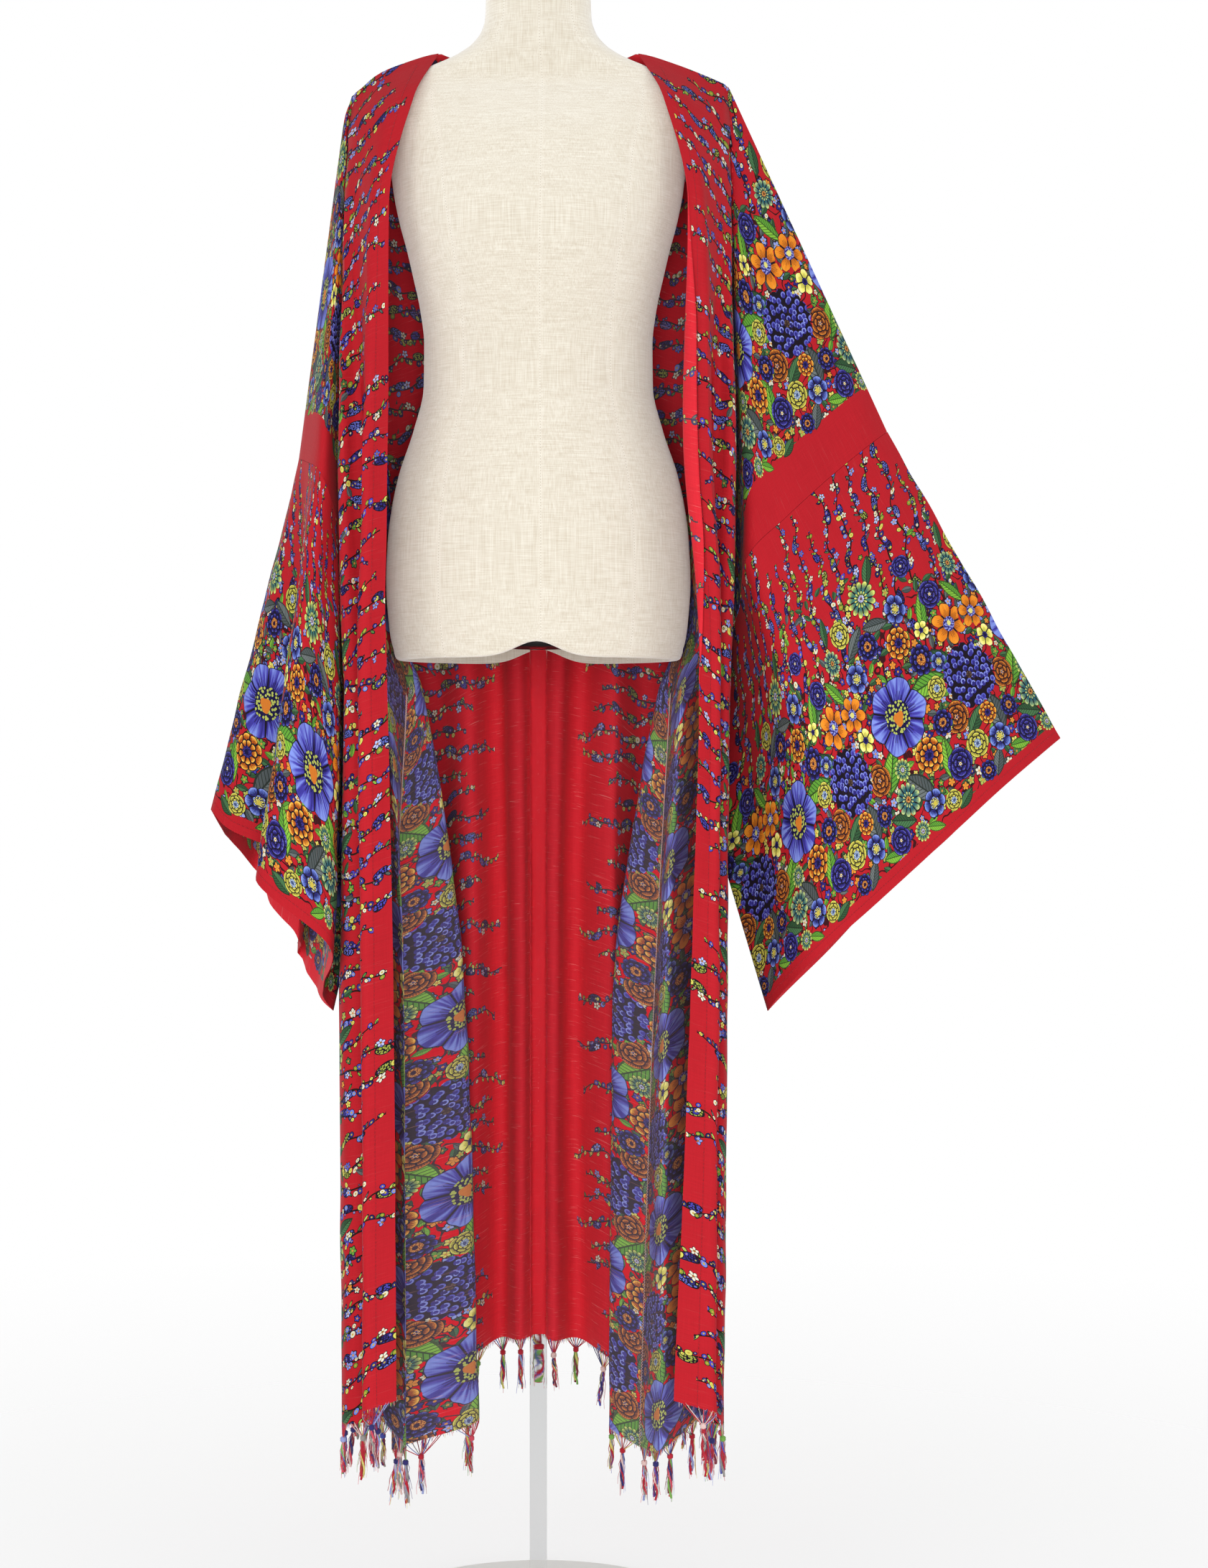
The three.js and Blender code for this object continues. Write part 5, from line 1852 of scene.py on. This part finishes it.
@dataclass
class Tassels:
    """The fringe: knotted tassels of mixed yarn with frayed ends, and short frayed ends between them."""

    finish: YarnFinish
    seed: int
    gathered: int = 9
    gathered_steps: int = 5
    wound: int = 4
    wound_steps: int = 12
    loose: int = 9
    loose_steps: int = 6
    gather: float = 4.2
    above_hem: float = 1.5
    knot_depth: tuple[float, float] = (13, 19)
    knot_height: float = 3.4
    knot_radii: Sequence[float] = (0.8, 2.6, 3.3, 3.0, 3.3, 2.6, 0.8)
    winding: float = 1.7
    twist: float = 7.5
    tail_spread: tuple[float, float] = (1.5, 6.0)
    frayed_length: tuple[float, float] = (2.0, 6.5)
    frayed_radii: Sequence[float] = (0.35, 0.3, 0.18)
    lift: float = 0.55

    def __post_init__(self) -> None:
        """Starts the random numbers."""
        self.rng = np.random.default_rng(self.seed)

    def _tints(self, count: int) -> Array:
        """Random yarn colours."""
        palette = np.array([linear(code) for code in YARNS])
        return palette[self.rng.integers(0, len(palette), count)]

    def _hang(self, knot: Array, length: float, spread: float, steps: int, twist: float) -> Array:
        """A strand that hangs from a knot.

        Args:
            knot: Where it starts.
            length: How long it is.
            spread: How far it stands off its middle line.
            steps: How many points it has.
            twist: How far it winds round that line, in radians.

        Returns:
            The (steps, 3) points.
        """
        t = np.linspace(0, 1, steps)
        angle = self.rng.uniform(0, math.tau) + twist * t
        out = spread * (0.35 + 0.65 * t if twist == 0 else np.minimum(1, 4 * t))
        path = np.zeros((steps, 3)) + knot
        path[:, 0] += out * np.cos(angle)
        path[:, 1] += out * np.sin(angle) * 0.8
        path[:, 2] -= length * t
        return path

    def build(self, name: str, places: Places, ends: Places) -> Piece:
        """Makes the fringe of one hem.

        Args:
            name: The piece's name.
            places: Where tassels hang.
            ends: Where frayed ends hang.

        Returns:
            The piece.
        """
        rng = self.rng
        top = CUT.length - self.above_hem
        gathered, wound, loose, knots = [], [], [], []
        for half, panel, across in places:
            depth = CUT.length + rng.uniform(*self.knot_depth)
            knot = on_cloth(half, panel, np.array([across]), np.array([depth]), 0.6)[0]
            lean = rng.normal(0, 1.6, 2)
            limits = (CUT.front_edge + 1 if panel is Panel.FRONT else 0.5, CUT.armhole - 2)
            for k in range(self.gathered):
                aside = (k - self.gathered // 2) * self.gather + rng.normal(0, 0.8)
                start = np.clip(across + aside, *limits)
                t = np.linspace(0, 1, self.gathered_steps)
                place = start + (across - start) * t
                down = top + (depth - top) * t**0.9
                path = on_cloth(half, panel, place, down, self.lift)
                path[-1] = knot
                gathered.append(path)
            length = CUT.length + CUT.fringe - depth + rng.normal(0, 3.0)
            for _ in range(self.wound):
                reach = length * rng.uniform(0.82, 1.0)
                path = self._hang(knot, reach, self.winding, self.wound_steps, self.twist)
                path[:, :2] += np.linspace(0, 1, self.wound_steps)[:, None] * lean
                wound.append(path)
            for _ in range(self.loose):
                reach, spread = length * rng.uniform(0.6, 1.12), rng.uniform(*self.tail_spread)
                path = self._hang(knot, reach, spread, self.loose_steps, 0)
                path[1:-1, :2] += rng.normal(0, 0.7, (self.loose_steps - 2, 2))
                path[:, :2] += np.linspace(0, 1, self.loose_steps)[:, None] * lean
                loose.append(path)
            rise = np.linspace(-self.knot_height, self.knot_height, len(self.knot_radii))[:, None]
            knots.append(knot - rise * (0, 0, 1))
        short = []
        for half, panel, across in ends:
            t = np.linspace(0, 1, len(self.frayed_radii))
            down = CUT.length - 0.8 + rng.uniform(*self.frayed_length) * t
            path = on_cloth(half, panel, across + rng.normal(0, 0.8) * t, down, self.lift)
            path[1:, 1] += rng.normal(0, 0.8)
            short.append(path)
        kinds = (
            ("gathered", gathered, [0.5] * self.gathered_steps, 4),
            ("wound", wound, [1.15] * self.wound_steps, 6),
            ("loose", loose, np.linspace(0.45, 0.22, self.loose_steps), 3),
            ("knots", knots, self.knot_radii, 8),
            ("short", short, self.frayed_radii, 3),
        )
        parts = []
        for kind, paths, radii, sides in kinds:
            tints = self._tints(len(paths))
            parts.append(strands(kind, np.array(paths), np.tile(radii, (len(paths), 1)), sides, tints))
        made = joined(name, parts)
        made.data.materials.append(self.finish.material)
        return made


@dataclass
class Fringe:
    """The fringe of the three hems."""

    pitch: float = 43.0
    frayed_pitch: float = 1.7

    def __post_init__(self) -> None:
        """Builds the yarn once."""
        self.finish = YarnFinish("Fringe yarn")

    @staticmethod
    def _even(start: float, end: float, pitch: float) -> Array:
        """Evenly set places with half a step kept free at each end.

        Args:
            start: Where they begin.
            end: Where they end.
            pitch: About how far apart they are.

        Returns:
            The places.
        """
        count = max(int(round((end - start) / pitch)), 1)
        step = (end - start) / count
        return start + step * (np.arange(count) + 0.5)

    def build(self) -> dict[str, Piece]:
        """Makes the fringe of the back and of the two fronts.

        Returns:
            The pieces by the cloth that they hang from.
        """
        edge = CUT.armhole - 3
        pitches = (self.pitch, self.frayed_pitch)
        places = (back_places(self._even(-edge, edge, pitch)) for pitch in pitches)
        piece = Tassels(self.finish, 41).build("tassels_back", *places)
        made = {"back": finish_piece(piece, "fringe", "fringe_back")}
        for half in HALVES:
            places = (front_places(half, self._even(CUT.front_edge + 2, edge, pitch)) for pitch in pitches)
            piece = Tassels(self.finish, 42 + half.side).build(f"tassels_front_{half.name}", *places)
            made[f"front_{half.name}"] = finish_piece(piece, "fringe", f"fringe_front_{half.name}")
        return made


@dataclass
class Stitching:
    """Rows of machine stitches along the front edges and cuffs, and the overlocked side seams."""

    pitch: float = 4.0
    length: float = 2.9
    lift: float = 1.1
    radius: float = 0.32
    colour: str = "9C1825"

    def __post_init__(self) -> None:
        """Builds the thread once."""
        self.finish = YarnFinish("Thread", 0.6)

    def _row(self, name: str, starts: Array, ends: Array, radius: float, code: str) -> Piece:
        """Stitches from the start points to the end points.

        Args:
            name: The piece's name.
            starts: The (N, 3) start points.
            ends: The (N, 3) end points.
            radius: The thread's radius.
            code: Its colour.

        Returns:
            The piece.
        """
        middle = (starts + ends) / 2
        paths = np.stack([starts, middle, ends], axis=1)
        radii = np.tile([radius * 0.6, radius, radius * 0.6], (len(paths), 1))
        made = strands(name, paths, radii, 4, np.tile(linear(code), (len(paths), 1)))
        made.data.materials.append(self.finish.material)
        return finish_piece(made, "cloth")

    def front_edge(self, half: HalfRobe) -> Piece:
        """The stitches that hold one front's turned edge.

        Args:
            half: The robe's half.

        Returns:
            The piece.
        """
        down = np.arange(12, CUT.length - 4, self.pitch)
        across = CUT.front_edge + 19
        starts, ends = (on_cloth(half, Panel.FRONT, across, down + k, self.lift) for k in (0, self.length))
        return self._row(f"edge_stitches_{half.name}", starts, ends, self.radius, self.colour)

    def cuff(self, half: HalfRobe) -> Piece:
        """The stitches of one cuff's hem.

        Args:
            half: The robe's half.

        Returns:
            The piece.
        """
        across = CUT.cuff - 9
        depth = np.arange(3, CUT.armhole_depth - 6, self.pitch)
        starts, ends = (
            np.concatenate([on_cloth(half, panel, across, depth + k, self.lift) for panel in Panel])
            for k in (0, self.length)
        )
        return self._row(f"cuff_stitches_{half.name}", starts, ends, self.radius, self.colour)

    def overlock(self, half: HalfRobe) -> Piece:
        """The zigzag thread over the side seam, on its wrong side, from the underarm to the hem.

        Args:
            half: The robe's half.

        Returns:
            The piece.
        """
        pitch, lift, inner, outer = 3.2, -0.45, CUT.armhole - 11.0, CUT.armhole - 4.0
        down = np.arange(CUT.armhole_depth + 14, CUT.length - 2, pitch)
        turns = ((inner, 0.0), (outer, pitch / 2), (inner, pitch))
        right, left, again = (on_cloth(half, Panel.FRONT, across, down + k, lift) for across, k in turns)
        starts, ends = np.concatenate([right, left]), np.concatenate([left, again])
        return self._row(f"overlock_{half.name}", starts, ends, 0.42, "E9C9C6")

    def build(self) -> dict[str, list[Piece]]:
        """Makes all the stitching.

        Returns:
            The pieces by the cloth that they lie on.
        """
        made: dict[str, list[Piece]] = {}
        for half in HALVES:
            made[f"front_{half.name}"] = [self.front_edge(half), self.overlock(half)]
            made[f"sleeve_{half.name}"] = [self.cuff(half)]
        return made


# ---- the dress form and its stand


@dataclass(frozen=True)
class DressForm:
    """The limbless form: a smooth body covered in linen, with a flat neck and an arched rim."""

    around: int = 192
    rim: float = 9.0
    recess: float = 26.0
    arch_half: float = 29.5
    arch_rise: float = 16.0
    seams: Triple = (0.03, 0.63, -0.63)
    rim_seam: float = 11.0
    neck_seam: float = 1645.0

    @staticmethod
    def _section(z: Array) -> Array:
        """The half width and the reach to the front and back at heights."""
        rows = [(s.half, s.front, s.back) for s in FORM_SECTIONS]
        return smooth_rows([s.z for s in FORM_SECTIONS], rows, z)

    def _ring(self, z: float, inset: float = 0.0, arch: float = 0.0) -> Array:
        """One level ring, whose height arches up in the middle of the front and back.

        Args:
            z: Its height.
            inset: How far in it lies.
            arch: How far it arches up.

        Returns:
            The (around, 3) points.
        """
        half, front, back = self._section(np.array([z]))[0]
        angle = np.arange(self.around) * math.tau / self.around
        x = (half - inset) * np.cos(angle)
        y = (np.where(np.sin(angle) < 0, front, back) - inset) * np.sin(angle)
        groove = sum(np.exp(-(((np.cos(angle) - seam) * half / 3.0) ** 2)) for seam in self.seams) * 0.5
        shrink = 1 - groove / np.maximum(np.hypot(x, y), 1)
        height = z + arch * np.exp(-((x / self.arch_half) ** 2))
        return np.column_stack([x * shrink, y * shrink, height])

    def build(self, material: Material) -> Piece:
        """Makes the form.

        Args:
            material: The cover's material.

        Returns:
            The piece.
        """
        low, top = FORM_SECTIONS[0].z, FORM_SECTIONS[-1].z
        rise = self.arch_rise
        inside = self._ring(low, self.rim)
        inside[:, 2] = low + self.recess
        foot = ((low, self.rim), (low, 2.5), (low + 1.2, 0.5))
        rings = [inside, *(self._ring(z, inset, rise) for z, inset in foot)]
        for k, z in enumerate(np.linspace(low + 3, top - 3, 150)):
            fade = max(0.0, 1 - k / 7)
            groove = 0.9 * math.exp(-(((z - low - self.rim_seam) / 1.8) ** 2))
            groove += 0.7 * math.exp(-(((z - self.neck_seam) / 1.6) ** 2))
            rings.append(self._ring(z, groove, rise * (0.8 + 0.2 * fade) * fade))
        neck = ((1.4, 0.3), (0.4, 1.2), (0, 2.6), (0, 30))
        rings += [self._ring(top - drop, inset) for drop, inset in neck]
        count = self.around
        points = np.concatenate([*rings, [rings[0].mean(axis=0)], [rings[-1].mean(axis=0)]])
        under, over, last = len(points) - 2, len(points) - 1, (len(rings) - 1) * count
        sides, starts = [(k, (k + 1) % count) for k in range(count)], range(0, last, count)
        faces = [(i + k, i + n, i + n + count, i + k + count) for i in starts for k, n in sides]
        faces += [face for k, n in sides for face in ((under, n, k), (over, last + k, last + n))]
        made = mesh_object("form_cover", points, faces, 55.0)
        half = np.maximum(self._section(points[:, 2])[:, 0], 1)
        across = np.stack([points[:, 0] - seam * half for seam in self.seams], axis=1)
        layer = made.data.attributes.new("seams", "FLOAT_VECTOR", "POINT")
        layer.data.foreach_set("vector", across.astype(np.float32).ravel())
        made.data.materials.append(material)
        return finish_piece(made, "linen", "dress_form")


@dataclass(frozen=True)
class LinenFinish:
    """Ecru linen with fine slubs, and paler lines along the form's seams."""

    ground: str = "EAE6DB"
    dark: str = "D4CBBA"
    seam: str = "F3EFE6"
    fleck: str = "B5AA94"
    roughness: float = 0.85

    def material(self) -> Material:
        """Builds the material.

        Returns:
            The material.
        """
        made, g, shader = new_material("Ecru linen")
        x, y, z = g.parts(g.scale(g.out("ShaderNodeTexCoord", "Object"), 1 / MM))
        weft = g.noise(g.combine(x * 0.05, y * 0.05, z * 1.1), 1.0, 2.0, 0.6)
        warp = g.noise(g.combine(x * 0.9, y * 0.9, z * 0.03), 1.0, 2.0, 0.6)
        threads = weft * 0.5 + warp * 0.5
        paint = g.tint(((threads - 0.34) * 3.2).clamp(), linear(self.dark), linear(self.ground))
        flecks = g.noise(g.combine(x * 0.03, y * 0.03, z * 0.8 + 40.0), 1.0, 3.0, 0.7)
        upright = g.noise(g.combine(x * 0.7 + 9.0, y * 0.7, z * 0.025), 1.0, 3.0, 0.7)
        fleck = ((flecks.most(upright) - 0.66) * 8.0).clamp()
        paint = g.tint(fleck * 0.4, paint, linear(self.fleck))
        first, second, third = g.parts(g.out("ShaderNodeAttribute", "Vector", attribute_name="seams"))
        away = first.size().least(second.size()).least(third.size())
        seam = away.below(0.7)
        ridge = away.below(3.5) * 0.10
        stitch = (z / 3.0).fract().below(0.55) * away.below(0.35)
        paint = g.tint((ridge + seam * 0.35).clamp(), paint, linear(self.seam))
        paint = g.tint(stitch * 0.6, paint, linear(self.fleck))
        g.fill(shader, {"Base Color": paint, "Roughness": self.roughness, "Diffuse Roughness": 1.0})
        g.fill(shader, {"Sheen Weight": 0.6, "Sheen Roughness": 0.5, "Specular IOR Level": 0.25})
        g.fill(shader, {"Normal": g.bump(threads - seam * 0.8, 0.3, 0.0005)})
        return made


@dataclass(frozen=True)
class StandFinish:
    """A finish of the stand: a plain colour with a fine unevenness."""

    name: str
    colour: str
    roughness: float
    grain: float = 0.04
    transmission: float = 0.0
    ior: float = 1.45

    def material(self) -> Material:
        """Builds the material.

        Returns:
            The material.
        """
        made, g, shader = new_material(self.name)
        inputs = {"Base Color": linear(self.colour), "Roughness": self.roughness, "IOR": self.ior}
        inputs["Transmission Weight"] = self.transmission
        if self.grain:
            grain = fine_grain(g, 380.0, 3.0)
            inputs["Roughness"] = grain * self.grain + self.roughness
            inputs["Normal"] = g.bump(grain, 0.08, 0.0003)
        g.fill(shader, inputs)
        return made


class Stand:
    """The socket, rod and round base, which keep their CAD solids."""

    FINISHES = {
        "socket": StandFinish("Matt black plastic", "0E0E10", 0.55),
        "pole": StandFinish("Clear acrylic", "FCFDFD", 0.0, 0.0, 1.0, 1.03),
        "base": StandFinish("White powder coat", "ECECE8", 0.42),
    }

    def dress(self, nodes: dict[str, Piece]) -> None:
        """Gives each solid its finish.

        Args:
            nodes: The CAD solids by name.
        """
        for name, finish in self.FINISHES.items():
            piece = nodes[name]
            material = finish.material()
            if not piece.material_slots:
                piece.data.materials.append(None)
            for slot in piece.material_slots:
                slot.link = "OBJECT"
                slot.material = material
            log.info("%s: %s", piece.name, material.name)


# ---- the studio


@dataclass(frozen=True)
class SoftLight:
    """A large soft light: where it stands, what it looks at, its size and power."""

    name: str
    at: Triple
    aim: Triple
    size: float
    power: float

    def build(self) -> None:
        """Adds the light."""
        data = bpy.data.lights.new(self.name, "AREA")
        data.shape = "DISK"
        data.size = self.size
        data.energy = self.power
        made = bpy.data.objects.new(self.name, data)
        made.location = self.at
        made.rotation_euler = (Vector(self.aim) - Vector(self.at)).to_track_quat("-Z", "Y").to_euler()
        bpy.context.collection.objects.link(made)


@dataclass(frozen=True)
class Studio:
    """A pale floor that fades out into a white room, soft lights and the camera."""

    ambient: float = 0.62
    lens: float = 65.5
    sensor: float = 36.0
    eye: Triple = (0.069, -3.0, 0.870)
    floor_radius: float = 6000.0
    floor_sides: int = 64
    floor_drop: float = 0.0006
    lights: tuple[SoftLight, ...] = rows_of(
        SoftLight,
        ("front", (-0.2, -4.2, 0.95), (0.0, 0.0, 0.85), 1.8, 54.0),
        ("front left", (-2.4, -3.6, 1.6), (0.0, 0.0, 0.9), 2.2, 29.0),
        ("front right", (2.6, -3.2, 1.2), (0.0, 0.0, 0.9), 2.0, 17.0),
        ("low front", (0.05, -2.2, 0.42), (0.0, 0.15, 0.66), 0.6, 9.5),
        ("back left", (-2.4, 2.6, 1.6), (0.0, 0.0, 0.9), 2.2, 22.0),
        ("back right", (2.4, 2.6, 1.8), (0.0, 0.0, 0.9), 2.2, 22.0),
    )

    def floor(self) -> Piece:
        """A round floor that fades out towards its edge.

        Returns:
            The floor.
        """
        steps = self.floor_sides
        angle = np.arange(steps) * math.tau / steps
        edge = np.column_stack([np.cos(angle), np.sin(angle), angle * 0]) * self.floor_radius
        faces = [(0, k + 1, (k + 1) % steps + 1) for k in range(steps)]
        made = mesh_object("floor", np.concatenate([np.zeros((1, 3)), edge]), faces)
        made.location.z = -self.floor_drop
        material, g, shader = new_material("Pale floor")
        reach = g.vector("LENGTH", g.out("ShaderNodeTexCoord", "Object"))
        alpha = ((2.3 - reach) / 1.9).clamp() * 0.45
        g.fill(shader, {"Base Color": (0.96, 0.96, 0.965, 1.0), "Roughness": 0.9, "Alpha": alpha})
        made.data.materials.append(material)
        return made

    def build(self) -> None:
        """Adds the lights, the room, the floor and the camera."""
        for light in self.lights:
            light.build()
        world = bpy.data.worlds.new("room")
        world.use_nodes = True
        g = Graph(world.node_tree)
        lit = g.fill(world.node_tree.nodes["Background"], (WHITE, self.ambient))
        seen = g.out("ShaderNodeBackground", 0, (WHITE,))
        straight = g.out("ShaderNodeLightPath", "Is Camera Ray")
        shown = g.out("ShaderNodeMixShader", 0, (straight, Wire(g, lit.outputs[0]), seen))
        g.fill(world.node_tree.nodes["World Output"], (shown,))
        bpy.context.scene.world = world
        self.floor()
        data = bpy.data.cameras.new("camera")
        data.lens = self.lens
        data.sensor_width = self.sensor
        camera = bpy.data.objects.new("camera", data)
        camera.location = self.eye
        camera.rotation_euler = (math.radians(90), 0.0, 0.0)
        bpy.context.collection.objects.link(camera)
        bpy.context.scene.camera = camera
        bpy.context.scene.view_settings.view_transform = "Standard"


# ---- assembly


def main() -> None:
    """Builds the robe, its form and the studio, piece by piece."""
    logging.basicConfig(level=logging.INFO, format="%(name)s: %(message)s")
    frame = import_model()

    form = DressForm().build(LinenFinish().material())
    Stand().dress(frame["nodes"])
    cloth = RobeCloth(ClothFinish())
    cloth.build()
    fringe = Fringe().build()
    stitching = Stitching().build()

    for name, piece in cloth.pieces.items():
        on_it = [*stitching.get(name, []), *([fringe[name]] if name in fringe else [])]
        if name == "front_left":
            on_it.append(cloth.edge)

    Studio().build()


if __name__ == "__main__":
    main()
